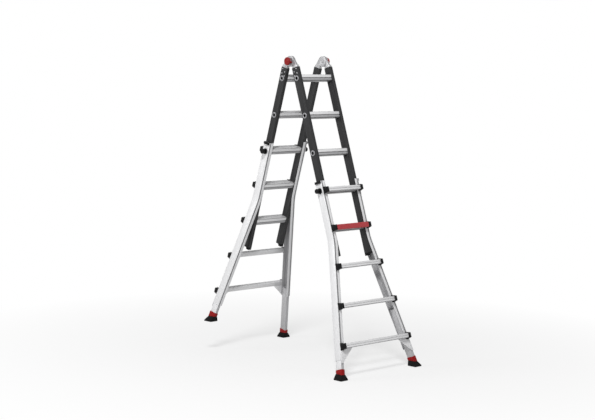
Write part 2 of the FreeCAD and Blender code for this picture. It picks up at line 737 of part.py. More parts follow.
def lock_base(ladder, side):
    """A round boss on an outer stile's web that guides the lock pin."""
    body = new_body("%s_lock_base_%s" % (ladder, side), lock_place(ladder))
    level = "-%s - housing_thickness" % WEB_FACE if hand_of(ladder, side) > 0 else WEB_FACE
    extrude(body, "Pad", "XZ_Plane", level, "housing_thickness", [regular("lock_base_radius", GRIP_SIDES)])
    extrude(body, "Pocket", "XZ_Plane", level + " - 1", "housing_thickness + 2",
            circles=[(("0", "0"), "lock_pin_radius + lock_pin_fit")])
    return body


def top_guide(ladder, side):
    """A plastic guide across the upper end of an outer stile's web."""
    body = new_body("%s_top_guide_%s" % (ladder, side), lock_place(ladder))
    level = "-%s - housing_thickness" % WEB_FACE if hand_of(ladder, side) > 0 else WEB_FACE
    low = "outer_stile_top - guide_height"
    bar = rectangle("-guide_depth / 2", "guide_depth / 2", low, "outer_stile_top")
    extrude(body, "Pad", "XZ_Plane", level, "housing_thickness", [bar])
    return body


def lock_housings(ladder):
    """Plastic parts on the outer stiles' webs: lock bosses, top guides and the lever's ears."""
    pieces = []
    for side in SIDES:
        pieces.append(lock_base(ladder, side))
        pieces.append(top_guide(ladder, side))
    pieces.append(lever_bracket(ladder))
    group("%s_lock_housings" % ladder, pieces)


def lock_knob(ladder, side):
    """A pull knob whose pin drops into a rung's open end when the knob is let home."""
    hand = hand_of(ladder, side)
    name = "%s_lock_knob_%s" % (ladder, side)
    place = lock_place(ladder)
    tip = "inner_half_width + flare_thickness + lock_pin_rest"
    face = WEB_FACE + " + housing_thickness + lock_pin_travel + lock_pin_fit"
    pin = lying("Prism", name + "_pin", "lock_pin_radius", "%s - (%s) + 1" % (face, tip), tip, hand, place)
    pin.Polygon = NECK_SIDES
    grip = lying("Prism", name + "_grip", "lock_knob_radius", "lock_knob_thickness", face, hand, place)
    grip.Polygon = GRIP_SIDES
    return keep(fuse(name, [pin, grip]))


# ---------------------------------------------------------------- legs and feet

def extension(ladder, side):
    """How far a leg is drawn out of its stile."""
    return LEVELLING if (ladder, side) == ("left", "far") else "0"


def leg_end(ladder, side):
    """Length along the flare from its start to a leg's lower end."""
    sole = along_flare(ladder, SOLE % last_rung(ladder))
    return "(%s + %s - rubber_height - collar_height)" % (sole, extension(ladder, side))


def leg(ladder, side):
    """A box-section leg that telescopes inside the flared end of an outer stile."""
    body = new_body("%s_leg_%s" % (ladder, side), flare_place(ladder, side, leg_end(ladder, side)))
    face = "-(outer_stile_wall + leg_fit)"
    half = "leg_depth / 2"
    outline = rectangle("-" + half, half, face + " - leg_width", face)
    hollow = rectangle("leg_wall - " + half, half + " - leg_wall",
                       face + " - leg_width + leg_wall", face + " - leg_wall")
    length = "leg_length" if side == "far" else "stub_length"
    extrude(body, "Pad", "XY_Plane", "0", length, [outline, hollow])
    return keep(body)


def sole_height(ladder, side):
    """Height of a foot's sole above the floor."""
    if (ladder, side) == ("left", "near"):
        return "(%s + stile_offset * sin(left_angle) - %s * cos(left_angle))" % (PIVOT_Z, SOLE % 6)
    return "0"


def foot_collar(ladder, side):
    """A coloured collar, square on the leg above and level below."""
    name = "%s_foot_collar_%s" % (ladder, side)
    face = "-(outer_stile_wall + leg_fit)"
    deep = "(leg_depth + 2 * collar_margin)"
    wide = "(leg_width + 2 * collar_margin)"
    block = box(name + "_block", flare_place(ladder, side, leg_end(ladder, side)),
                (deep, wide, "leg_depth * 3"),
                ("-%s / 2" % deep, "%s - leg_width - collar_margin" % face, "-leg_depth * 3"))
    level = "placement(vector(0; 0; %s); rotation(vector(0; 0; 1); 0))" % sole_height(ladder, side)
    slab = box(name + "_slab", level, ("rung_pitch * 20", "rung_pitch * 20", "rung_pitch"),
               ("-rung_pitch * 10", "-rung_pitch * 10", "rubber_height"))
    collar = doc.addObject("Part::Common", name)
    collar.Label = name
    collar.Base = block
    collar.Tool = slab
    return keep(collar)


def foot_centre(ladder, side):
    """Where the middle of a leg meets the level of its sole, as row coordinates."""
    drop = LEVEL_DROP if (ladder, side) == ("left", "far") else SOLE % last_rung(ladder)
    angle = ladder + "_angle"
    sign = LADDERS[ladder]
    across = signed(sign, "stile_offset * cos(%s) + %s * sin(%s)" % (angle, drop, angle))
    inset = "(outer_stile_wall + leg_fit + leg_width / 2) / cos(flare_angle)"
    along = signed(SIDES[side], "%s - %s" % (web_at(ladder, drop), inset))
    return "pivot_x + %s" % across, "pivot_y + %s" % along


def shoe_profile(name, place, role, sole, top, shift):
    """One view of a shoe: a skewed taper drawn on a plane and padded right across."""
    body = new_body(name, place)
    left, right = "-%s / 2" % sole, "%s / 2" % sole
    upper_left, upper_right = "%s - %s / 2" % (shift, top), "%s + %s / 2" % (shift, top)
    outline = [(left, "0"), (right, "0"), (right, "rubber_lip"),
               (upper_right, "rubber_height"), (upper_left, "rubber_height"), (left, "rubber_lip")]
    reach = "2 * (sole_depth + sole_width)"
    extrude(body, "Pad", role, "-(%s) / 2" % reach, reach, [outline])
    return body


def foot_pad(ladder, side):
    """A rubber shoe that spreads from the collar to a level sole."""
    name = "%s_foot_pad_%s" % (ladder, side)
    across, along = foot_centre(ladder, side)
    centre = "vector(%s; %s; %s)" % (across, along, sole_height(ladder, side))
    place = "placement(%s; rotation(vector(0; 0; 1); 0))" % centre
    angle = ladder + "_angle"
    shift_x = signed(-LADDERS[ladder], "rubber_height * tan(%s)" % angle)
    shift_y = signed(-SIDES[side], "rubber_height * tan(flare_angle) / cos(%s)" % angle)
    deep = "(leg_depth + 2 * collar_margin)"
    wide = "(leg_width + 4 * collar_margin)"
    pad = doc.addObject("Part::Common", name)
    pad.Label = name
    pad.Base = shoe_profile(name + "_front", place, "XZ_Plane", "sole_depth", deep, shift_x)
    pad.Tool = shoe_profile(name + "_flank", place, "YZ_Plane", "sole_width", wide, shift_y)
    return keep(pad)


def lever_place(ladder):
    """The frame at the lower end of a leveller's lever, on the far stile's web."""
    low = along_flare(ladder, "(%s + lever_drop + lever_length)" % rung_drop(last_rung(ladder)))
    return flare_place(ladder, "far", low)


LEVER_AXIS = ("lever_gap + lever_thickness / 2", "lever_length - lever_pin_inset")


def lever(ladder):
    """A spring lever on the far stile that releases the levelling leg."""
    body = new_body("%s_leveller_lever" % ladder, lever_place(ladder))
    face = "lever_gap + lever_thickness"
    outline = [("lever_gap", "0"), (face, "0"), (face + " * 1.5", "lever_length * 0.15"),
               (face, "lever_length * 0.5"), (face, "lever_length"), (LEVER_AXIS[0], "lever_length"),
               ("lever_gap", LEVER_AXIS[1])]
    extrude(body, "Pad", "YZ_Plane", "-lever_width / 2", "lever_width", [outline])
    extrude(body, "Pocket", "YZ_Plane", "-lever_width", "lever_width * 2",
            circles=[(LEVER_AXIS, "lever_pin_radius + lever_gap")])
    return keep(body)


def lever_bracket(ladder):
    """Two ears riveted to the web with the pin that the lever turns on."""
    body = new_body("%s_lever_bracket" % ladder, lever_place(ladder))
    inside = "lever_width / 2 + lever_gap"
    face = "lever_gap * 2 + lever_thickness"
    ear = [("0", LEVER_AXIS[1] + " - lever_pin_inset * 2"), (face, LEVER_AXIS[1] + " - lever_pin_inset"),
           (face, "lever_length"), ("0", "lever_length + lever_pin_inset")]
    extrude(body, "Pad", "YZ_Plane", "-(%s) - ear_thickness" % inside, "2 * (%s + ear_thickness)" % inside,
            circles=[(LEVER_AXIS, "lever_pin_radius")])
    extrude(body, "Pad", "YZ_Plane", inside, "ear_thickness", [ear])
    extrude(body, "Pad", "YZ_Plane", "-(%s) - ear_thickness" % inside, "ear_thickness", [ear])
    return body


# ---------------------------------------------------------------- assembly

for ladder in LADDERS:
    for side in SIDES:
        inner_stile(ladder, side)
    stile_end_caps(ladder)
    for number in range(1, RUNGS + 1):
        inner_rung(ladder, number)
    for side in SIDES:
        outer_stile(ladder, side)
    for number in range(1, RUNGS + 1):
        outer_rung(ladder, number)
    rung_caps(ladder)
    gussets(ladder)
    hinge_leaves(ladder)
    lock_housings(ladder)
    for side in SIDES:
        lock_knob(ladder, side)
        leg(ladder, side)
        foot_collar(ladder, side)
        foot_pad(ladder, side)
    lever(ladder)
tread_cover()
hinge_pins()
for side in SIDES:
    hinge_knob(side)

doc.recompute()
for item in doc.Objects:
    if "Invalid" in item.State or "Error" in item.State:
        raise RuntimeError("%s did not build" % item.Label)
for item in subparts:
    if item.Shape.isNull() or not item.Shape.isValid():
        raise RuntimeError("%s has no valid shape" % item.Label)

os.makedirs("parts", exist_ok=True)
for item in subparts:
    item.Shape.exportStep("parts/%s.step" % item.Label)
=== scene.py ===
"""Looks of a multi position ladder: two telescopic ladders joined by two locking hinges."""

import json
import logging
import math
from collections.abc import Callable
from dataclasses import dataclass, field
from enum import Enum

import bmesh
import bpy
from mathutils import Matrix, Vector


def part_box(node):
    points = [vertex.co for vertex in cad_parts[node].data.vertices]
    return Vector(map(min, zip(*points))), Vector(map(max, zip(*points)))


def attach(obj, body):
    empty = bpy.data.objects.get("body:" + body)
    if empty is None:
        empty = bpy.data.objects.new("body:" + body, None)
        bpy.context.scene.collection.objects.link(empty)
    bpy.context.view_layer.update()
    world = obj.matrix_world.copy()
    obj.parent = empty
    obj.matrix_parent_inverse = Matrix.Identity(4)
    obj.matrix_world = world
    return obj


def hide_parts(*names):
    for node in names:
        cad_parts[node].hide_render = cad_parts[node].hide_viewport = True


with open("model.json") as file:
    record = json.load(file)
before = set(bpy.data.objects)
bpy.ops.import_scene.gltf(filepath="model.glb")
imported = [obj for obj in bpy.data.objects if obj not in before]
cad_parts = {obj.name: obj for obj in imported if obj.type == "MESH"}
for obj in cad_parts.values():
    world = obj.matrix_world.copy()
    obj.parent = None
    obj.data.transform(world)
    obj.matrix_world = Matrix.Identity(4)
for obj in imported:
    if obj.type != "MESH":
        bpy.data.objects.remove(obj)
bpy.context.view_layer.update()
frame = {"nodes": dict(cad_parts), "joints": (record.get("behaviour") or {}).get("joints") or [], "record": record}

logging.basicConfig(level=logging.INFO, format="%(message)s")
LOG = logging.getLogger("ladder")

SIDES = {"near": -1, "far": 1}
LADDERS = {"left": -1, "right": 1}
RUNGS = 5
OUTER_FIRST_RUNG = {"left": 2, "right": 3}
MM = 0.001

MERGE = 5e-6  # metres: corners of a node's loose triangles that are one corner
SLIVER = 2e-6  # metres: corners that easing has brought together
FLAT_DEGREES = 0.6  # faces that are one flat face
CORNER_DEGREES = 31  # edges sharper than this are eased, and stay sharp in shading
BUTTON_DEGREES = 40  # the same limit on turned knobs
COVER_DEGREES = 35  # the same limit on the tread cover
SCALLOP_FADE = 3.0  # millimetres over which a knob's scallops reach their depth


@dataclass(frozen=True)
class LadderSizes:
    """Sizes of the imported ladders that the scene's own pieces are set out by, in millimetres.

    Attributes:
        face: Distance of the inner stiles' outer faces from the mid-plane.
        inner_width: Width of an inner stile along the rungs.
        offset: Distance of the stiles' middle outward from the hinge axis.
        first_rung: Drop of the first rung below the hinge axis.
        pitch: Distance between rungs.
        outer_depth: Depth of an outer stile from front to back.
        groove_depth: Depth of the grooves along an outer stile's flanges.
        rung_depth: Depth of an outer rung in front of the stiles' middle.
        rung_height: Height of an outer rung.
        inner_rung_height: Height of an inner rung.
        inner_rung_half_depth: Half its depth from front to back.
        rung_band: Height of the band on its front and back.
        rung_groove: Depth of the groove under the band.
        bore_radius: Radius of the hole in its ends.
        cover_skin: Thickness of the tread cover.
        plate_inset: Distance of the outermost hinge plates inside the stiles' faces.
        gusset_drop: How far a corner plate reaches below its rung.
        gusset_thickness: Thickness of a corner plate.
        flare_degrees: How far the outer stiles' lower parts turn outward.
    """

    face: float = 182.5
    inner_width: float = 29.0
    offset: float = 36.5
    first_rung: float = 140.0
    pitch: float = 280.0
    outer_depth: float = 61.0
    groove_depth: float = 1.2
    rung_depth: float = 32.0
    rung_height: float = 33.0
    inner_rung_height: float = 47.0
    inner_rung_half_depth: float = 25.0
    rung_band: float = 23.0
    rung_groove: float = 3.5
    bore_radius: float = 11.0
    cover_skin: float = 2.5
    plate_inset: float = 2.5
    gusset_drop: float = 96.0
    gusset_thickness: float = 3.0
    flare_degrees: float = 12.3


@dataclass(frozen=True)
class FaceBands:
    """Where one finish meets the next on an extrusion, in millimetres unless it says a share.

    Attributes:
        stile_slack: How far off a stile's plane a face may lie and still belong to it.
        rung_slack: The same on a rung.
        end_slack: The same at a rung's rolled end.
        bore_slack: How far round a rung's bore its painted shadow reaches.
        dark_line: Height of the painted shade line under an inner rung's band.
        inner_foot: Share of an inner rung's height from its middle down to its foot.
        outer_foot: Share of an outer rung's height from its middle down to where its painted shade begins.
        facing: How squarely a face looks outward to count as the outer one, 0 to 1.
    """

    stile_slack: float = 0.2
    rung_slack: float = 0.3
    end_slack: float = 0.5
    bore_slack: float = 1.5
    dark_line: float = 5.0
    inner_foot: float = 0.4
    outer_foot: float = 0.3
    facing: float = 0.5


SIZES = LadderSizes()
BANDS = FaceBands()


# ------------------------------------------------------------------ finishes


class Run(Enum):
    """The way a drawn or moulded surface's fine lines run."""

    LEFT_STILE = "left_stile"
    RIGHT_STILE = "right_stile"
    RUNG = "rung"
    NONE = "none"


@dataclass(frozen=True)
class Finish:
    """One surface finish, as its paint or metal would be specified.

    Attributes:
        name: The material's name.
        slot: The record's material slot; not used.
        colour: Main colour, linear RGB.
        worn: Colour of rubbed edges, linear RGB.
        roughness: Mean roughness.
        metallic: Share of bare metal.
        wear: How strongly edges are rubbed, 0 to 1.
        wear_radius: Width of a rubbed edge in metres.
        line_depth: Height of the drawn lines or moulded pebbles in metres.
        line_scale: Lines per metre across the run.
        mottle: How much the colour varies over a hand's breadth.
        sheen_coat: Clear coat weight.
        gloss: Specular level, 0.5 for plain paint.
        recess: How much painted shade darkens the colour in grooves and corners, 0 to 1.
        recess_reach: How far off a wall the painted shade still darkens the surface, in metres.
        streaks: How much the die's lines change the shade.
        run: The way the lines run.
    """

    name: str
    slot: str
    colour: tuple[float, float, float]
    worn: tuple[float, float, float]
    roughness: float
    metallic: float = 0.0
    wear: float = 0.3
    wear_radius: float = 0.0010
    line_depth: float = 0.00005
    line_scale: float = 900.0
    mottle: float = 0.10
    sheen_coat: float = 0.0
    gloss: float = 0.5
    recess: float = 0.0
    recess_reach: float = 0.020
    streaks: float = 0.0
    run: Run = Run.NONE


CHARCOAL = dict(slot="stile_dark", colour=(0.022, 0.022, 0.023), worn=(0.12, 0.12, 0.125), roughness=0.46,
                wear=0.50, wear_radius=0.0009, line_depth=0.00006, gloss=0.22, recess=0.4)
SILVER = dict(slot="silver", colour=(0.80, 0.80, 0.81), worn=(0.90, 0.90, 0.91), roughness=0.34,
              metallic=0.12, wear=0.35, wear_radius=0.0008, line_depth=0.00004, line_scale=1400.0,
              mottle=0.03, gloss=0.40, recess=0.85, streaks=0.25)
# Painted shade: darker copies of the silver. Deep shade goes on the flanges' groove floors and the inner rungs'
# top edges, dark lines and feet; half shade on the rungs' downward flanks; side shade on the channels' insides and
# on the legs' faces other than the outer one.
PAINTED_DEEP_SHADE = dict(SILVER, colour=(0.20, 0.20, 0.205), worn=(0.5, 0.5, 0.5), recess=0.4)
PAINTED_HALF_SHADE = dict(SILVER, colour=(0.42, 0.42, 0.43), worn=(0.6, 0.6, 0.6), roughness=0.48, recess=0.5)
PAINTED_SIDE_SHADE = dict(PAINTED_HALF_SHADE, colour=(0.50, 0.50, 0.51), recess=0.12)
STILE_METALS = {"charcoal": CHARCOAL, "silver": SILVER, "strip": PAINTED_DEEP_SHADE, "mill": PAINTED_SIDE_SHADE}
RUNG_METALS = {"silver_rung": SILVER, "dull_rung": PAINTED_HALF_SHADE, "strip_rung": PAINTED_DEEP_SHADE}
MOULDED_AND_PRESSED = (
    # Painted shadow: near black inside the rung ends' bores, where the deep hole lies in shade.
    Finish("bore", "silver", (0.012, 0.012, 0.012), (0.05, 0.05, 0.05), roughness=0.70, wear_radius=0.0006,
           line_depth=0.00004, gloss=0.1),
    Finish("rolled_lip", "silver", (0.26, 0.26, 0.27), (0.60, 0.60, 0.61), roughness=0.34, metallic=0.35,
           wear=0.4, wear_radius=0.0008, line_depth=0.00004, line_scale=500.0, recess=0.6),
    Finish("steel", "steel", (0.44, 0.44, 0.45), (0.74, 0.74, 0.74), roughness=0.36, metallic=0.60, wear=0.5,
           wear_radius=0.0008, line_depth=0.00008, line_scale=420.0, mottle=0.14, recess=0.9,
           recess_reach=0.007),
    Finish("rivet", "silver", (0.60, 0.60, 0.61), (0.80, 0.80, 0.80), roughness=0.34, metallic=0.8,
           wear_radius=0.0004, line_depth=0.00002, recess=0.4),
    Finish("black_plastic", "plastic_black", (0.0035, 0.0035, 0.0038), (0.025, 0.025, 0.025), roughness=0.48,
           wear=0.45, wear_radius=0.0009, line_scale=1100.0, mottle=0.12, gloss=0.14),
    Finish("red_plastic", "plastic_red", (0.25, 0.0026, 0.0022), (0.56, 0.07, 0.06), roughness=0.34,
           line_depth=0.00003, sheen_coat=0.05, gloss=0.22, recess=0.5),
    Finish("red_cover", "plastic_red", (0.46, 0.050, 0.058), (0.60, 0.13, 0.13), roughness=0.48,
           wear_radius=0.0012, line_depth=0.00006, line_scale=1000.0, gloss=0.30, recess=0.5),
    Finish("red_collar", "collar_red", (0.27, 0.0040, 0.0040), (0.48, 0.08, 0.07), roughness=0.44,
           mottle=0.12, gloss=0.16, recess=0.5),
    Finish("rubber", "rubber", (0.0055, 0.0055, 0.0055), (0.020, 0.020, 0.019), roughness=0.80, wear=0.5,
           wear_radius=0.0014, line_depth=0.00012, line_scale=700.0, mottle=0.20, gloss=0.12),
)


def all_finishes() -> dict[str, Finish]:
    """Every finish by name: a stile's metals and painted shades run both ladders' ways, a rung's run along the
    rung.

    Returns:
        The finishes.
    """
    found = {finish.name: finish for finish in MOULDED_AND_PRESSED}
    for ladder, run in (("left", Run.LEFT_STILE), ("right", Run.RIGHT_STILE)):
        for metal, values in STILE_METALS.items():
            name = "%s_%s" % (metal, ladder)
            found[name] = Finish(name, run=run, **values)
    for name, values in RUNG_METALS.items():
        # A rung's painted recess shade reaches 60 mm, into the tube ends.
        found[name] = Finish(name, run=Run.RUNG, recess_reach=0.060, **values)
    return found


FINISHES = all_finishes()


def new_group(name: str, inputs: list[tuple[str, str, float]],
              outputs: list[tuple[str, str]]) -> bpy.types.NodeTree:
    """Start a shader node group.

    Args:
        name: The group's name.
        inputs: Name, socket type and starting value of each input.
        outputs: Name and socket type of each output.

    Returns:
        The group, holding only its input and output nodes.
    """
    group = bpy.data.node_groups.new(name, "ShaderNodeTree")
    for label, kind, start in inputs:
        socket = group.interface.new_socket(name=label, in_out="INPUT", socket_type=kind)
        if kind == "NodeSocketFloat":
            socket.default_value = start
    for label, kind in outputs:
        group.interface.new_socket(name=label, in_out="OUTPUT", socket_type=kind)
    group.nodes.new("NodeGroupInput")
    group.nodes.new("NodeGroupOutput")
    return group


def arithmetic(tree: bpy.types.NodeTree, operation: str, first: object, second: object,
               clamp: bool = False) -> bpy.types.NodeSocket:
    """Add a maths node.

    Args:
        tree: The tree to add to.
        operation: The node's operation.
        first: A socket or a number.
        second: A socket or a number.
        clamp: Whether the result is kept between 0 and 1.

    Returns:
        The node's result.
    """
    node = tree.nodes.new("ShaderNodeMath")
    node.operation = operation
    node.use_clamp = clamp
    for index, item in enumerate((first, second)):
        if isinstance(item, bpy.types.NodeSocket):
            tree.links.new(item, node.inputs[index])
        else:
            node.inputs[index].default_value = item
    return node.outputs[0]


def noise(tree: bpy.types.NodeTree, vector: bpy.types.NodeSocket, scale: float,
          detail: float) -> bpy.types.NodeSocket:
    """Add a noise texture.

    Args:
        tree: The tree to add to.
        vector: Where the texture is read.
        scale: Its scale.
        detail: Its detail.

    Returns:
        Its value, from 0 to 1.
    """
    node = tree.nodes.new("ShaderNodeTexNoise")
    node.inputs["Scale"].default_value = scale
    node.inputs["Detail"].default_value = detail
    tree.links.new(vector, node.inputs["Vector"])
    return node.outputs["Fac"]


class Effects:
    """The node groups that the finishes share.

    Attributes:
        BROAD_SCALE: Broad streaks for each fine line.
        EDGE_GAIN: How quickly a turned edge counts as fully rubbed.
        SCUFF_SCALE: Scale of the scuffs.
        SCUFF_RANGE: Noise values between which an edge goes from whole to rubbed.
        SHADE_PATCH_SCALE: Scale of the noise patches that deepen the painted shade in a recess.
        SHADE_PATCH_GAIN: How much the patches deepen it.
        CLOUD_SCALE: Scale of the slow change of shade.
    """

    BROAD_SCALE = 0.12
    EDGE_GAIN = 7.0
    SCUFF_SCALE = 160.0
    SCUFF_RANGE = (0.38, 0.62)
    SHADE_PATCH_SCALE = 70.0
    SHADE_PATCH_GAIN = 0.8
    CLOUD_SCALE = 9.0

    def __init__(self) -> None:
        """Build each group once."""
        self.lines = self.drawn_lines()
        self.edges = self.rubbed_edges()
        self.recess_shading = self.recessed()
        self.mottling = self.mottled()

    @staticmethod
    def drawn_lines() -> bpy.types.NodeTree:
        """Fine lines or pebbles, stretched along the third axis by a factor.

        Returns:
            The group, which puts out the lines' height and the broad streaks.
        """
        group = new_group("drawn_lines",
                          [("Vector", "NodeSocketVector", 0), ("Across", "NodeSocketFloat", 900.0),
                           ("Stretch", "NodeSocketFloat", 60.0)],
                          [("Height", "NodeSocketFloat"), ("Streak", "NodeSocketFloat")])
        links, nodes = group.links, group.nodes
        source, sink = nodes["Group Input"], nodes["Group Output"]
        split = nodes.new("ShaderNodeSeparateXYZ")
        join = nodes.new("ShaderNodeCombineXYZ")
        links.new(source.outputs["Vector"], split.inputs[0])
        across = source.outputs["Across"]
        links.new(arithmetic(group, "MULTIPLY", split.outputs[0], across), join.inputs[0])
        links.new(arithmetic(group, "MULTIPLY", split.outputs[1], across), join.inputs[1])
        along = arithmetic(group, "DIVIDE", across, source.outputs["Stretch"])
        links.new(arithmetic(group, "MULTIPLY", split.outputs[2], along), join.inputs[2])
        links.new(noise(group, join.outputs[0], 1.0, 3.0), sink.inputs["Height"])
        links.new(noise(group, join.outputs[0], Effects.BROAD_SCALE, 2.0), sink.inputs["Streak"])
        return group

    @staticmethod
    def rubbed_edges() -> bpy.types.NodeTree:
        """A mask of the outer edges, broken up by scuffs.

        Returns:
            The group.
        """
        group = new_group("rubbed_edges",
                          [("Vector", "NodeSocketVector", 0), ("Radius", "NodeSocketFloat", 0.001),
                           ("Amount", "NodeSocketFloat", 0.5)], [("Mask", "NodeSocketFloat")])
        links, nodes = group.links, group.nodes
        source, sink = nodes["Group Input"], nodes["Group Output"]
        bevel = nodes.new("ShaderNodeBevel")
        bevel.samples = 4
        links.new(source.outputs["Radius"], bevel.inputs["Radius"])
        geometry = nodes.new("ShaderNodeNewGeometry")
        dot = nodes.new("ShaderNodeVectorMath")
        dot.operation = "DOT_PRODUCT"
        links.new(bevel.outputs[0], dot.inputs[0])
        links.new(geometry.outputs["Normal"], dot.inputs[1])
        turned = arithmetic(group, "SUBTRACT", 1.0, dot.outputs["Value"])
        strong = arithmetic(group, "MULTIPLY", turned, Effects.EDGE_GAIN, True)
        ramp = nodes.new("ShaderNodeMapRange")
        ramp.inputs["From Min"].default_value, ramp.inputs["From Max"].default_value = Effects.SCUFF_RANGE
        links.new(noise(group, source.outputs["Vector"], Effects.SCUFF_SCALE, 4.0), ramp.inputs["Value"])
        broken = arithmetic(group, "MULTIPLY", strong, ramp.outputs[0])
        links.new(arithmetic(group, "MULTIPLY", broken, source.outputs["Amount"], True), sink.inputs["Mask"])
        return group

    @staticmethod
    def recessed() -> bpy.types.NodeTree:
        """How open the surface is, as painted shade: 1 on open faces, less in grooves, corners and tube ends.

        Returns:
            The group.
        """
        group = new_group("recessed", [("Vector", "NodeSocketVector", 0), ("Amount", "NodeSocketFloat", 0.5),
                                       ("Reach", "NodeSocketFloat", 0.020)], [("Open", "NodeSocketFloat")])
        links, nodes = group.links, group.nodes
        source, sink = nodes["Group Input"], nodes["Group Output"]
        # Painted shade: ambient occlusion darkens grooves, corners and tube ends, and noise patches deepen it in
        # places.
        cover = nodes.new("ShaderNodeAmbientOcclusion")
        cover.samples = 8
        cover.only_local = True
        links.new(source.outputs["Reach"], cover.inputs["Distance"])
        shade_patches = noise(group, source.outputs["Vector"], Effects.SHADE_PATCH_SCALE, 3.0)
        shut = arithmetic(group, "SUBTRACT", 1.0, cover.outputs["AO"])
        patchy = arithmetic(group, "ADD", arithmetic(group, "MULTIPLY", shade_patches, Effects.SHADE_PATCH_GAIN), 1.0)
        dark = arithmetic(group, "MULTIPLY", shut, patchy, True)
        strong = arithmetic(group, "MULTIPLY", dark, source.outputs["Amount"], True)
        links.new(arithmetic(group, "SUBTRACT", 1.0, strong), sink.inputs["Open"])
        return group

    @staticmethod
    def mottled() -> bpy.types.NodeTree:
        """A slow change of shade over the surface, around 1.

        Returns:
            The group.
        """
        group = new_group("mottled", [("Vector", "NodeSocketVector", 0), ("Amount", "NodeSocketFloat", 0.1)],
                          [("Shade", "NodeSocketFloat")])
        source, sink = group.nodes["Group Input"], group.nodes["Group Output"]
        cloud = noise(group, source.outputs["Vector"], Effects.CLOUD_SCALE, 5.0)
        centred = arithmetic(group, "SUBTRACT", cloud, 0.5)
        scaled = arithmetic(group, "MULTIPLY", centred, source.outputs["Amount"])
        shade = arithmetic(group, "ADD", arithmetic(group, "MULTIPLY", scaled, 2.0), 1.0)
        group.links.new(shade, sink.inputs["Shade"])
        return group


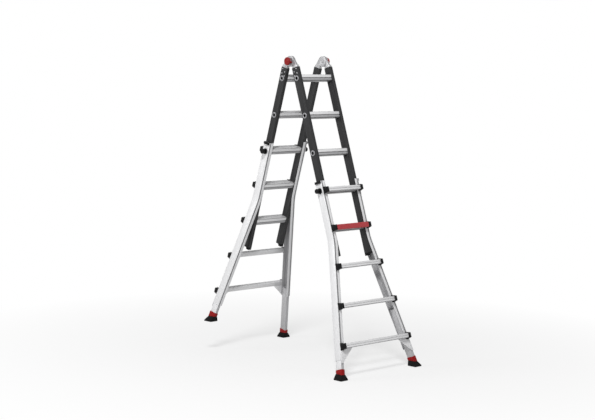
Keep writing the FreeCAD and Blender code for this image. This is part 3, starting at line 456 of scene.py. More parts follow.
class Paintshop:
    """Makes each finish's material once and dresses the pieces with it.

    Attributes:
        RUN_STRETCH: How many times longer a drawn line is than it is wide.
        ROUGHNESS_SPREAD: How much the roughness varies between streaks.
        BUMP_STRENGTH: Strength of the lines' relief.
    """

    RUN_STRETCH = 70.0
    ROUGHNESS_SPREAD = 0.22
    BUMP_STRENGTH = 0.6

    def __init__(self, leans: dict[str, float]) -> None:
        """Start with the shared effects and no materials.

        Args:
            leans: Each ladder's lean from upright, in radians.
        """
        self.effects = Effects()
        self.turns = {Run.LEFT_STILE: (0.0, -leans["left"], 0.0),
                      Run.RIGHT_STILE: (0.0, leans["right"], 0.0),
                      Run.RUNG: (math.pi / 2, 0.0, 0.0), Run.NONE: (0.0, 0.0, 0.0)}
        self.made: dict[str, bpy.types.Material] = {}

    def material(self, name: str) -> bpy.types.Material:
        """The material of a named finish.

        Args:
            name: The finish.

        Returns:
            Its material, made on first use.
        """
        if name not in self.made:
            self.made[name] = self.mix(FINISHES[name])
        return self.made[name]

    def dress(self, piece: bpy.types.Object, body: str, name: str, *nodes: str) -> bpy.types.Object:
        """Give a piece its finish and body, and hide the nodes that it stands for.

        Args:
            piece: The finished object.
            body: The body it rides on.
            name: Its finish.
            *nodes: Nodes that it replaces.

        Returns:
            The same piece.
        """
        piece.data.materials.clear()
        piece.data.materials.append(self.material(name))
        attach(piece, body)
        if nodes:
            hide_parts(*nodes)
        LOG.info("piece %s rides on %s", piece.name, body)
        return piece

    @staticmethod
    def use(tree: bpy.types.NodeTree, group: bpy.types.NodeTree, vector: bpy.types.NodeSocket,
            **values: float) -> bpy.types.Node:
        """Place a shared effect in a material.

        Args:
            tree: The material's tree.
            group: The effect.
            vector: Where its pattern is read.
            **values: The effect's other inputs.

        Returns:
            The group node.
        """
        node = tree.nodes.new("ShaderNodeGroup")
        node.node_tree = group
        tree.links.new(vector, node.inputs["Vector"])
        for label, number in values.items():
            node.inputs[label].default_value = number
        return node

    def mix(self, finish: Finish) -> bpy.types.Material:
        """Build one finish's material.

        Args:
            finish: The finish to make.

        Returns:
            The material.
        """
        material = bpy.data.materials.new(finish.name)
        material.use_nodes = True
        tree = material.node_tree
        shader = tree.nodes["Principled BSDF"]
        place = tree.nodes.new("ShaderNodeTexCoord")
        turn = tree.nodes.new("ShaderNodeMapping")
        tree.links.new(place.outputs["Object"], turn.inputs["Vector"])
        turn.inputs["Rotation"].default_value = self.turns[finish.run]
        stretch = 1.0 if finish.run is Run.NONE else self.RUN_STRETCH
        lines = self.use(tree, self.effects.lines, turn.outputs[0], Across=finish.line_scale,
                         Stretch=stretch)
        edges = self.use(tree, self.effects.edges, place.outputs["Object"], Radius=finish.wear_radius,
                         Amount=finish.wear)
        mottle = self.use(tree, self.effects.mottling, place.outputs["Object"], Amount=finish.mottle)
        worn = tree.nodes.new("ShaderNodeMix")
        worn.data_type = "RGBA"
        worn.inputs[6].default_value = (*finish.colour, 1.0)
        worn.inputs[7].default_value = (*finish.worn, 1.0)
        tree.links.new(edges.outputs["Mask"], worn.inputs[0])
        shade = tree.nodes.new("ShaderNodeVectorMath")
        shade.operation = "SCALE"
        tree.links.new(worn.outputs[2], shade.inputs[0])
        tone = mottle.outputs["Shade"]
        # Painted shade: ambient occlusion darkens the colour in grooves, corners and tube ends.
        if finish.recess > 0.0:
            open_share = self.use(tree, self.effects.recess_shading, place.outputs["Object"], Amount=finish.recess,
                                  Reach=finish.recess_reach)
            tone = arithmetic(tree, "MULTIPLY", tone, open_share.outputs["Open"])
        streak = arithmetic(tree, "SUBTRACT", lines.outputs["Streak"], 0.5)
        if finish.streaks > 0.0:
            line_tone = arithmetic(tree, "ADD", arithmetic(tree, "MULTIPLY", streak, finish.streaks), 1.0)
            tone = arithmetic(tree, "MULTIPLY", tone, line_tone)
        tree.links.new(tone, shade.inputs["Scale"])
        tree.links.new(shade.outputs[0], shader.inputs["Base Color"])
        varied = arithmetic(tree, "MULTIPLY", streak, self.ROUGHNESS_SPREAD)
        tree.links.new(arithmetic(tree, "ADD", varied, finish.roughness, True), shader.inputs["Roughness"])
        bump = tree.nodes.new("ShaderNodeBump")
        bump.inputs["Strength"].default_value = self.BUMP_STRENGTH
        bump.inputs["Distance"].default_value = finish.line_depth
        tree.links.new(lines.outputs["Height"], bump.inputs["Height"])
        tree.links.new(bump.outputs["Normal"], shader.inputs["Normal"])
        shader.inputs["Metallic"].default_value = finish.metallic
        shader.inputs["Specular IOR Level"].default_value = finish.gloss
        shader.inputs["Coat Weight"].default_value = finish.sheen_coat
        return material


# ------------------------------------------------------------------ frames and meshes


@dataclass(frozen=True)
class LadderFrame:
    """Where one ladder stands: x outward from the stance, y along the row's y, z up the stiles.

    Attributes:
        ladder: Which ladder.
        pivot: The hinge axis's middle, in metres.
        lean: Lean of the stiles from upright, in radians.
    """

    ladder: str
    pivot: Vector
    lean: float

    def at(self, out: float, along: float, up: float) -> Vector:
        """A point given in millimetres in the ladder's frame, as row metres."""
        return self.pivot + self.direction(out, along, up) * MM

    def direction(self, out: float, along: float, up: float) -> Vector:
        """A direction in the ladder's frame, as a row direction of the same length.

        Args:
            out: Outward share.
            along: Share along the row's y.
            up: Share up the stiles.

        Returns:
            The direction.
        """
        sign = LADDERS[self.ladder]
        sine, cosine = math.sin(self.lean), math.cos(self.lean)
        return Vector((sign * (out * cosine - up * sine), along, out * sine + up * cosine))

    def local(self, point: Vector) -> Vector:
        """A row point in metres, given back in the ladder's frame in millimetres."""
        reach = (Vector(point) - self.pivot) / MM
        return Vector((reach.dot(self.direction(1, 0, 0)), reach.y, reach.dot(self.direction(0, 0, 1))))


def ladder_frames() -> dict[str, LadderFrame]:
    """The two ladders' frames, read from the fold joint and the telescopes' slides.

    Returns:
        Each ladder's frame by name.
    """
    joints = {joint["name"]: joint for joint in frame["joints"]}
    pivot = Vector(joints["fold"]["pos_m"])
    found = {}
    for ladder in LADDERS:
        slide = Vector(joints[ladder + "_telescope"]["axis"])
        found[ladder] = LadderFrame(ladder, pivot, math.atan2(abs(slide.x), abs(slide.z)))
    return found


def add_object(name: str, mesh: bpy.types.Mesh) -> bpy.types.Object:
    """Link a mesh into the scene as an object at the origin.

    Args:
        name: The object's name.
        mesh: Its mesh.

    Returns:
        The object.
    """
    piece = bpy.data.objects.new(name, mesh)
    bpy.context.scene.collection.objects.link(piece)
    return piece


def settle(piece: bpy.types.Object) -> bpy.types.Object:
    """Turn a piece with live modifiers into a plain mesh.

    Args:
        piece: The object whose modifiers are to be made permanent.

    Returns:
        The same object with a plain mesh and no modifiers.
    """
    graph = bpy.context.evaluated_depsgraph_get()
    mesh = bpy.data.meshes.new_from_object(piece.evaluated_get(graph))
    piece.modifiers.clear()
    piece.data = mesh
    return piece


def smooth_by_angle(mesh: bpy.types.Mesh, degrees: float) -> None:
    """Shade a mesh smooth except over edges sharper than an angle."""
    mesh.shade_smooth()
    mesh.set_sharp_from_angle(angle=math.radians(degrees))


def softened(name: str, node: str, radius: float, segments: int = 2) -> bpy.types.Object:
    """A copy of a node with its corners eased, as an extruded, pressed or moulded part has.

    Args:
        name: Name of the new piece.
        node: The node to copy.
        radius: Radius of the eased corners in metres.
        segments: Faces across each corner.

    Returns:
        The new piece, at the origin.
    """
    mesh = bpy.data.meshes.new(name)
    shape = bmesh.new()
    shape.from_mesh(frame["nodes"][node].data)
    bmesh.ops.remove_doubles(shape, verts=shape.verts, dist=MERGE)
    bmesh.ops.dissolve_limit(shape, angle_limit=math.radians(FLAT_DEGREES), verts=shape.verts,
                             edges=shape.edges)
    sharp = [edge for edge in shape.edges
             if len(edge.link_faces) == 2 and edge.calc_face_angle() > math.radians(CORNER_DEGREES)]
    bmesh.ops.bevel(shape, geom=sharp, offset=radius, offset_type="OFFSET", segments=segments, profile=0.5,
                    affect="EDGES", clamp_overlap=True, harden_normals=False)
    bmesh.ops.remove_doubles(shape, verts=shape.verts, dist=SLIVER)
    bmesh.ops.triangulate(shape, faces=[face for face in shape.faces if len(face.verts) > 4])
    shape.to_mesh(mesh)
    shape.free()
    smooth_by_angle(mesh, CORNER_DEGREES)
    return add_object(name, mesh)


def lathe(name: str, profile: list[tuple[float, float]], steps: int, lobes: int = 0, depth: float = 0.0,
          reach: float = 0.0) -> bpy.types.Mesh:
    """Turn a profile about the z axis, closed at both ends, with scallops round the rim.

    Args:
        name: The mesh's name.
        profile: Radius and height pairs from the bottom middle to the top middle, in millimetres.
        steps: Divisions round the axis.
        lobes: How many scallops run round the rim.
        depth: How deep the scallops are, in millimetres.
        reach: Radius from which the scallops begin, in millimetres.

    Returns:
        The mesh, in metres.
    """
    mesh = bpy.data.meshes.new(name)
    shape = bmesh.new()
    rings = []
    for radius, height in profile:
        if radius < 1e-6:
            rings.append([shape.verts.new((0.0, 0.0, height * MM))])
            continue
        ring = []
        for step in range(steps):
            bearing = 2 * math.pi * step / steps
            bite = 0.0
            if lobes and radius > reach:
                wave = 0.5 + 0.5 * math.cos(lobes * bearing)
                bite = depth * wave ** 3 * min(1.0, (radius - reach) / SCALLOP_FADE)
            across, over = (radius - bite) * math.cos(bearing), (radius - bite) * math.sin(bearing)
            ring.append(shape.verts.new((across * MM, over * MM, height * MM)))
        rings.append(ring)
    for lower, upper in zip(rings, rings[1:]):
        for step in range(steps):
            following = (step + 1) % steps
            corners = [lower[step % len(lower)], lower[following % len(lower)],
                       upper[following % len(upper)], upper[step % len(upper)]]
            shape.faces.new(list(dict.fromkeys(corners)))
    bmesh.ops.recalc_face_normals(shape, faces=shape.faces)
    shape.to_mesh(mesh)
    shape.free()
    return mesh


def joined(name: str, meshes: list[tuple[bpy.types.Mesh, Matrix]]) -> bpy.types.Mesh:
    """One mesh of several, each moved to its place.

    Args:
        name: The new mesh's name.
        meshes: Each mesh and where it goes.

    Returns:
        The joined mesh.
    """
    whole = bpy.data.meshes.new(name)
    shape = bmesh.new()
    for mesh, place in meshes:
        moved = mesh.copy()
        moved.transform(place)
        shape.from_mesh(moved)
    shape.to_mesh(whole)
    shape.free()
    return whole


def bar(name: str, low: Vector, high: Vector, radius: float) -> bpy.types.Mesh:
    """A straight bar between two corners, in millimetres, with eased edges.

    Args:
        name: The mesh's name.
        low: Its lowest corner.
        high: Its highest corner.
        radius: Radius of its eased edges.

    Returns:
        The mesh, in metres.
    """
    mesh = bpy.data.meshes.new(name)
    shape = bmesh.new()
    bmesh.ops.create_cube(shape, size=1.0)
    middle, size = (low + high) / 2, high - low
    for vert in shape.verts:
        vert.co = Vector((middle[i] + vert.co[i] * size[i] for i in range(3))) * MM
    bmesh.ops.bevel(shape, geom=shape.edges[:], offset=radius * MM, segments=2, profile=0.5, affect="EDGES",
                    clamp_overlap=True)
    shape.to_mesh(mesh)
    shape.free()
    return mesh


# ------------------------------------------------------------------ repeated pieces by Geometry Nodes


class Repeater:
    """A Geometry Nodes tree that sets one shape on points, each facing its own way."""

    def __init__(self, name: str, inputs: list[tuple[str, float]], material: bpy.types.Material) -> None:
        """Start the tree.

        Args:
            name: The tree's name.
            inputs: Name and starting value of each size, in metres.
            material: The finish of what it makes.
        """
        self.tree = bpy.data.node_groups.new(name, "GeometryNodeTree")
        self.material = material
        sockets = self.tree.interface
        sockets.new_socket(name="Geometry", in_out="INPUT", socket_type="NodeSocketGeometry")
        for label, start in inputs:
            size = sockets.new_socket(name=label, in_out="INPUT", socket_type="NodeSocketFloat")
            size.default_value = start
        sockets.new_socket(name="Geometry", in_out="OUTPUT", socket_type="NodeSocketGeometry")
        self.source = self.tree.nodes.new("NodeGroupInput")
        self.sink = self.tree.nodes.new("NodeGroupOutput")
        self.complete(self.shape())

    def node(self, kind: str, **values: object) -> bpy.types.Node:
        """Add a node and set its plain properties.

        Args:
            kind: The node's type.
            **values: Its properties.

        Returns:
            The node.
        """
        made = self.tree.nodes.new(kind)
        for label, item in values.items():
            setattr(made, label, item)
        return made

    def link(self, start: bpy.types.NodeSocket, end: bpy.types.NodeSocket) -> None:
        """Join two sockets."""
        self.tree.links.new(start, end)

    def shape(self) -> bpy.types.NodeSocket:
        """The shape to repeat, standing on the origin along z."""
        raise NotImplementedError

    def flattened(self, shape: bpy.types.NodeSocket, height: str, width: str) -> bpy.types.NodeSocket:
        """Scale a shape along z by the ratio of two of the tree's sizes.

        Args:
            shape: The shape.
            height: Name of the size that it gets along z.
            width: Name of the size that it has.

        Returns:
            The scaled shape.
        """
        ratio = self.node("ShaderNodeMath", operation="DIVIDE")
        self.link(self.source.outputs[height], ratio.inputs[0])
        self.link(self.source.outputs[width], ratio.inputs[1])
        scale = self.node("ShaderNodeCombineXYZ")
        scale.inputs[0].default_value = 1.0
        scale.inputs[1].default_value = 1.0
        self.link(ratio.outputs[0], scale.inputs[2])
        flat = self.node("GeometryNodeTransform")
        self.link(shape, flat.inputs["Geometry"])
        self.link(scale.outputs[0], flat.inputs["Scale"])
        return flat.outputs["Geometry"]

    def complete(self, shape: bpy.types.NodeSocket) -> None:
        """Set the shape on the carrier's points, then realize it and give it its material.

        Args:
            shape: The shape to repeat.
        """
        facing = self.node("GeometryNodeInputNamedAttribute", data_type="FLOAT_VECTOR")
        facing.inputs["Name"].default_value = "facing"
        align = self.node("FunctionNodeAlignRotationToVector", axis="Z")
        self.link(facing.outputs["Attribute"], align.inputs["Vector"])
        place = self.node("GeometryNodeInstanceOnPoints")
        self.link(self.source.outputs["Geometry"], place.inputs["Points"])
        self.link(shape, place.inputs["Instance"])
        self.link(align.outputs["Rotation"], place.inputs["Rotation"])
        real = self.node("GeometryNodeRealizeInstances")
        self.link(place.outputs["Instances"], real.inputs["Geometry"])
        smooth = self.node("GeometryNodeSetShadeSmooth")
        self.link(real.outputs["Geometry"], smooth.inputs["Geometry"])
        paint = self.node("GeometryNodeSetMaterial")
        paint.inputs["Material"].default_value = self.material
        self.link(smooth.outputs["Geometry"], paint.inputs["Geometry"])
        self.link(paint.outputs["Geometry"], self.sink.inputs["Geometry"])

    def make(self, name: str, places: list[tuple[Vector, Vector]], **sizes: float) -> bpy.types.Object:
        """Run the tree on a set of places.

        Args:
            name: Name of the new piece.
            places: Point and facing direction of each copy, in metres.
            **sizes: Values for the tree's inputs, by name with underscores for spaces.

        Returns:
            A plain mesh object that holds every copy.
        """
        mesh = bpy.data.meshes.new(name)
        mesh.from_pydata([tuple(point) for point, _ in places], [], [])
        facing = mesh.attributes.new("facing", "FLOAT_VECTOR", "POINT")
        for index, (_, direction) in enumerate(places):
            facing.data[index].vector = direction.normalized()
        piece = add_object(name, mesh)
        modifier = piece.modifiers.new("repeat", "NODES")
        modifier.node_group = self.tree
        for item in self.tree.interface.items_tree:
            key = item.name.replace(" ", "_")
            if key in sizes:
                modifier[item.identifier] = sizes[key]
        return settle(piece)


class Rivets(Repeater):
    """Domed rivet heads."""

    def shape(self) -> bpy.types.NodeSocket:
        """A flattened ball, sunk to its middle.

        Returns:
            The head.
        """
        ball = self.node("GeometryNodeMeshUVSphere")
        ball.inputs["Segments"].default_value = 20
        ball.inputs["Rings"].default_value = 12
        self.link(self.source.outputs["Radius"], ball.inputs["Radius"])
        return self.flattened(ball.outputs["Mesh"], "Height", "Radius")


class RolledRings(Repeater):
    """Tube ends rolled over into a rounded lip."""

    def shape(self) -> bpy.types.NodeSocket:
        """A ring of oval section, its lip standing out along z.

        Returns:
            The ring.
        """
        rim = self.node("GeometryNodeCurvePrimitiveCircle")
        rim.inputs["Resolution"].default_value = 48
        self.link(self.source.outputs["Rim radius"], rim.inputs["Radius"])
        section = self.node("GeometryNodeCurvePrimitiveCircle")
        section.inputs["Resolution"].default_value = 16
        self.link(self.source.outputs["Lip width"], section.inputs["Radius"])
        sweep = self.node("GeometryNodeCurveToMesh")
        self.link(rim.outputs["Curve"], sweep.inputs["Curve"])
        self.link(section.outputs["Curve"], sweep.inputs["Profile Curve"])
        return self.flattened(sweep.outputs["Mesh"], "Lip height", "Lip width")


RIVET_INPUTS = [("Radius", 0.004), ("Height", 0.002)]
RING_INPUTS = [("Rim radius", 0.015), ("Lip width", 0.003), ("Lip height", 0.003)]


# ------------------------------------------------------------------ sub-assemblies


@dataclass
class Assembly:
    """A group of the ladder's pieces.

    Attributes:
        shop: Where finishes come from.
        frames: The ladders' frames.
    """

    shop: Paintshop
    frames: dict[str, LadderFrame]

    def build(self) -> None:
        """Make the pieces and dress them."""
        raise NotImplementedError


@dataclass
class Sections(Assembly):
    """The extruded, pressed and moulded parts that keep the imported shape, with eased corners.

    Attributes:
        plain: How each kind of node is finished: name ending, finish and corner radius in millimetres.
    """

    plain: dict[str, tuple[str, str, float]] = field(default_factory=lambda: {
        "inner_stile": ("extrusion", "charcoal_", 1.2),
        "stile_end_caps": ("moulding", "black_plastic", 0.9),
        "inner_rung": ("extrusion", "silver_rung", 0.7),
        "outer_stile": ("extrusion", "silver_", 0.8),
        "outer_rung": ("extrusion", "silver_rung", 0.5),
        "rung_caps": ("moulding", "black_plastic", 3.6),
        "hinge_leaves": ("pressing", "steel", 0.9),
        "hinge_pins": ("turning", "steel", 0.5),
        "lock_housings": ("moulding", "black_plastic", 1.5),
        "leg": ("extrusion", "silver_", 0.9),
        "foot_collar": ("moulding", "red_collar", 1.8),
        "foot_pad": ("moulding", "rubber", 2.2),
        "leveller_lever": ("moulding", "red_plastic", 1.3),
        "gussets": ("pressing", "silver_rung", 0.7),
    })

    def kind_of(self, node: str) -> str | None:
        """The longest kind whose name is in the node's, or None.

        Args:
            node: The node's name.

        Returns:
            The kind, which is a key of plain, or None.
        """
        bare = node.replace("left_", "").replace("right_", "")
        found = [kind for kind in self.plain if bare.startswith(kind)]
        return max(found, key=len) if found else None

    def build(self) -> None:
        """Make every such part from its node."""
        for body, nodes in frame["record"]["behaviour"]["bodies"].items():
            for node in nodes:
                kind = self.kind_of(node)
                if kind is None:
                    continue
                ending, finish, radius = self.plain[kind]
                if finish.endswith("_"):
                    finish += "left" if node.startswith("left") else "right"
                piece = softened("%s_%s" % (node, ending), node, radius * MM)
                self.shop.dress(piece, body, finish, node)
                shades = {"outer_stile": self.stile_shade, "leg": self.leg_shade,
                          "inner_rung": self.inner_rung_shade, "outer_rung": self.outer_rung_shade}
                if kind in shades:
                    self.paint(piece, node, shades[kind])

    def paint(self, piece: bpy.types.Object, node: str, shade: Callable) -> None:
        """Give some faces of an extrusion a second finish: painted shade, or the rung ends' rolled lip.

        Args:
            piece: The finished piece.
            node: The node that it stands for, whose name says ladder and number.
            shade: Names the finish of a face from its middle, its normal and the node's own words.
        """
        words = node.split("_")
        place = self.frames[words[0]]
        slots = {}
        for polygon in piece.data.polygons:
            name = shade(place.local(polygon.center), polygon.normal, words)
            if name is None:
                continue
            if name not in slots:
                slots[name] = len(piece.data.materials)
                piece.data.materials.append(self.shop.material(name))
            polygon.material_index = slots[name]

    @staticmethod
    def stile_shade(middle: Vector, normal: Vector, words: list[str]) -> str | None:
        """The flange grooves' floors get painted deep shade, and the channel's inside, except faces looking
        outward, gets painted side shade.

        Args:
            middle: Middle of the face in the ladder's frame, in millimetres.
            normal: Its normal in the row.
            words: The words of the node's name.

        Returns:
            The face's second finish, or None for the main one.
        """
        out = abs(middle.x - SIZES.offset)
        flange = SIZES.outer_depth / 2
        if abs(out - flange + SIZES.groove_depth) < BANDS.stile_slack:
            return "strip_" + words[0]
        outer_face = normal.y * SIDES[words[-1]] > BANDS.facing
        if out < flange - 2 * SIZES.groove_depth + BANDS.stile_slack and not outer_face:
            return "mill_" + words[0]
        return None

    @staticmethod
    def leg_shade(middle: Vector, normal: Vector, words: list[str]) -> str | None:
        """Every face of a leg but its outer one gets painted side shade."""
        return None if normal.y * SIDES[words[-1]] > BANDS.facing else "mill_" + words[0]

    @staticmethod
    def inner_rung_shade(middle: Vector, normal: Vector, words: list[str]) -> str | None:
        """The ends are rolled over with a painted shadow inside the bore; painted deep shade marks the top edges,
        a line under the band and the foot, and painted half shade the flanks under the band.

        Args:
            middle: Middle of the face in the ladder's frame, in millimetres.
            normal: Its normal in the row; not used.
            words: The words of the node's name.

        Returns:
            The face's second finish, or None for the main one.
        """
        drop = SIZES.first_rung + SIZES.pitch * (int(words[-1]) - 1)
        up, out, along = middle.z + drop, abs(middle.x - SIZES.offset), abs(middle.y)
        if along > SIZES.face - BANDS.end_slack:
            return "rolled_lip"
        if along > SIZES.face - SIZES.inner_width:
            return "bore" if math.hypot(up, out) < SIZES.bore_radius + BANDS.bore_slack else None
        top, band = SIZES.inner_rung_height / 2, SIZES.inner_rung_height / 2 - SIZES.rung_band
        if up > top - SIZES.rung_groove - BANDS.rung_slack:
            edge = SIZES.inner_rung_half_depth - SIZES.rung_groove - BANDS.rung_slack
            return "strip_rung" if out > edge else None
        if up < -BANDS.inner_foot * SIZES.inner_rung_height or band > up > band - BANDS.dark_line:
            return "strip_rung"
        return "dull_rung" if up < band else None

    @staticmethod
    def outer_rung_shade(middle: Vector, normal: Vector, words: list[str]) -> str | None:
        """The underside and the lowest part of the front get painted half shade."""
        drop = SIZES.first_rung + SIZES.pitch * (OUTER_FIRST_RUNG[words[0]] + int(words[-1]) - 1)
        return "dull_rung" if middle.z + drop < -BANDS.outer_foot * SIZES.rung_height else None


@dataclass
class RungEnds(Assembly):
    """The rolled lips of the inner rungs, outside the inner stiles.

    Attributes:
        rim_radius: Radius of the lip's crown.
        lip_width: Half the lip's width.
        lip_height: How far the lip stands out.
    """

    rim_radius: float = 15.2
    lip_width: float = 3.2
    lip_height: float = 3.9

    def build(self) -> None:
        """Roll both ends of every inner rung."""
        rings = RolledRings("rolled_rung_ends", RING_INPUTS, self.shop.material("rolled_lip"))
        for ladder, place in self.frames.items():
            spots = [(place.at(SIZES.offset, hand * SIZES.face, -SIZES.first_rung - index * SIZES.pitch),
                      Vector((0.0, hand, 0.0))) for index in range(RUNGS) for hand in SIDES.values()]
            piece = rings.make(ladder + "_rolled_rung_ends", spots, Rim_radius=self.rim_radius * MM,
                               Lip_width=self.lip_width * MM, Lip_height=self.lip_height * MM)
            self.shop.dress(piece, ladder + "_inner", "rolled_lip")


@dataclass
class StileRivets(Assembly):
    """Rivets that hold the hinge shanks in the inner stiles' heads.

    Attributes:
        spots: Outward distance from the hinge axis and drop below it of each rivet.
        radius: Radius of a head.
        height: How far a head stands out.
    """

    spots: tuple[tuple[float, float], ...] = ((50.0, 70.0), (24.0, 88.0), (50.0, 104.0), (21.0, 118.0))
    radius: float = 4.2
    height: float = 1.9

    def build(self) -> None:
        """Set the rivets on the outer faces of all four stiles."""
        heads = Rivets("rivet_heads", RIVET_INPUTS, self.shop.material("rivet"))
        for ladder, place in self.frames.items():
            spots = [(place.at(out, hand * SIZES.face, -drop), Vector((0.0, hand, 0.0)))
                     for out, drop in self.spots for hand in SIDES.values()]
            piece = heads.make(ladder + "_hinge_rivets", spots, Radius=self.radius * MM,
                               Height=self.height * MM)
            self.shop.dress(piece, ladder + "_inner", "rivet")


@dataclass
class GussetRivets(Assembly):
    """Rivets that hold the corner plates on the outer stiles.

    Attributes:
        inset: Distance of the row from the plate's outer edge.
        first: Height of the lowest rivet above the plate's foot.
        spacing: Height from one rivet to the next.
        count: Rivets in a row.
        radius: Radius of a head.
        height: How far a head stands out.
    """

    inset: float = 13.0
    first: float = 14.0
    spacing: float = 24.0
    count: int = 3
    radius: float = 3.8
    height: float = 1.7

    def build(self) -> None:
        """Set a row of rivets along the outer edge of each plate."""
        heads = Rivets("gusset_rivet_heads", RIVET_INPUTS, self.shop.material("rivet"))
        slope = math.tan(math.radians(SIZES.flare_degrees))
        front = SIZES.offset + SIZES.outer_depth / 2 + SIZES.gusset_thickness
        for ladder, place in self.frames.items():
            last = OUTER_FIRST_RUNG[ladder] + RUNGS - 1
            foot = SIZES.first_rung + SIZES.pitch * last + SIZES.rung_height / 2 + SIZES.gusset_drop
            spots = []
            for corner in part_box(ladder + "_gussets"):
                edge = place.local(corner).y
                for index in range(self.count):
                    rise = self.first + index * self.spacing
                    along = math.copysign(abs(edge) - self.inset - rise * slope, edge)
                    spots.append((place.at(front, along, rise - foot), place.direction(1.0, 0.0, 0.0)))
            piece = heads.make(ladder + "_gusset_rivets", spots, Radius=self.radius * MM,
                               Height=self.height * MM)
            self.shop.dress(piece, ladder + "_outer", "rivet")


@dataclass
class HingeBeads(Assembly):
    """Round beads pressed into the hinge plates that face in and out.

    Attributes:
        bead_radius: Radius of a bead's crown.
        bead_width: Half a bead's width.
        bead_height: How far a bead stands out.
    """

    bead_radius: float = 33.5
    bead_width: float = 1.9
    bead_height: float = 1.1

    def build(self) -> None:
        """Press both faces of both hinges; the left leaf's plates are the outermost pair."""
        beads = RolledRings("pressed_beads", RING_INPUTS, self.shop.material("steel"))
        inward = SIZES.face - SIZES.inner_width + SIZES.plate_inset
        outward = SIZES.face - SIZES.plate_inset
        place = self.frames["left"]
        spots = []
        for hand in SIDES.values():
            spots.append((place.at(0.0, hand * inward, 0.0), Vector((0.0, -hand, 0.0))))
            spots.append((place.at(0.0, hand * outward, 0.0), Vector((0.0, hand, 0.0))))
        piece = beads.make("hinge_beads", spots, Rim_radius=self.bead_radius * MM,
                           Lip_width=self.bead_width * MM, Lip_height=self.bead_height * MM)
        self.shop.dress(piece, "left_inner", "steel")


@dataclass
class TreadCover(Assembly):
    """The rounded cover on the right outer ladder's second rung, with fine grip lines.

    Attributes:
        corner: Radius of the cover's front corners.
        back_gap: Distance of its back edge in front of the stiles.
        line_depth: Depth of the grip lines.
        lines: How many grip lines run along the front, and as many along the top.
        line_start: Distance of the top's first line from the back edge.
        steps: Points to a corner and to a grip line.
    """

    corner: float = 6.5
    back_gap: float = 3.0
    line_depth: float = 0.45
    lines: int = 5
    line_start: float = 2.0
    steps: int = 8

    def outline(self) -> list[tuple[float, float]]:
        """The section, outward and up from the middle of the rung's back.

        Returns:
            Its corners in order, in millimetres.
        """
        top = SIZES.rung_height / 2 + SIZES.cover_skin
        front = SIZES.rung_depth + SIZES.cover_skin
        lip = SIZES.rung_depth / 2
        flat = top - self.corner
        points = [(self.back_gap, SIZES.rung_height / 2), (self.back_gap, top)]
        points += self.gripped((self.back_gap + self.line_start, top), (front - self.corner, top),
                               (0.0, -1.0))
        points += self.round_corner(front - self.corner, flat, 90.0, 0.0)
        points += self.gripped((front, flat), (front, -flat), (-1.0, 0.0))
        points += self.round_corner(front - self.corner, -flat, 0.0, -90.0)
        points += [(lip, -top), (lip, -SIZES.rung_height / 2)]
        points += [(SIZES.rung_depth, -SIZES.rung_height / 2), (SIZES.rung_depth, SIZES.rung_height / 2)]
        return points

    def round_corner(self, across: float, up: float, start: float, end: float) -> list[tuple[float, float]]:
        """Points of a rounded corner between two bearings in degrees.

        Args:
            across: How far out the corner's centre is.
            up: How high it is.
            start: First bearing.
            end: Last bearing.

        Returns:
            The points, in millimetres.
        """
        points = []
        for step in range(self.steps + 1):
            bearing = math.radians(start + (end - start) * step / self.steps)
            points.append((across + self.corner * math.cos(bearing), up + self.corner * math.sin(bearing)))
        return points

    def gripped(self, start: tuple[float, float], end: tuple[float, float],
                inward: tuple[float, float]) -> list[tuple[float, float]]:
        """Points between two corners with rounded grip lines sunk into the face.

        Args:
            start: First corner.
            end: Last corner.
            inward: The way into the cover.

        Returns:
            The points between them, in millimetres.
        """
        steps = self.lines * self.steps
        points = []
        for step in range(1, steps):
            share = step / steps
            sink = self.line_depth * (0.5 - 0.5 * math.cos(2 * math.pi * self.lines * share)) ** 2
            points.append(tuple(start[i] + (end[i] - start[i]) * share + inward[i] * sink for i in range(2)))
        return points

    def build(self) -> None:
        """Extrude the cover along its rung and set it over the solid."""
        place = self.frames["right"]
        drop = SIZES.first_rung + SIZES.pitch * (OUTER_FIRST_RUNG["right"] + 1)
        back = SIZES.offset + SIZES.outer_depth / 2
        ends = [place.local(corner).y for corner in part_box("tread_cover")]
        mesh = bpy.data.meshes.new("tread_cover_moulding")
        shape = bmesh.new()
        loops = [[shape.verts.new(place.at(back + out, along, up - drop)) for out, up in self.outline()]
                 for along in ends]
        for first, second in zip(range(len(loops[0])), [*range(1, len(loops[0])), 0]):
            shape.faces.new((loops[0][first], loops[0][second], loops[1][second], loops[1][first]))
        caps = [shape.faces.new(loop) for loop in loops]
        bmesh.ops.triangulate(shape, faces=caps)
        bmesh.ops.recalc_face_normals(shape, faces=shape.faces)
        shape.to_mesh(mesh)
        shape.free()
        smooth_by_angle(mesh, COVER_DEGREES)
        piece = add_object("tread_cover_moulding", mesh)
        self.shop.dress(piece, "right_outer", "red_cover", "tread_cover")


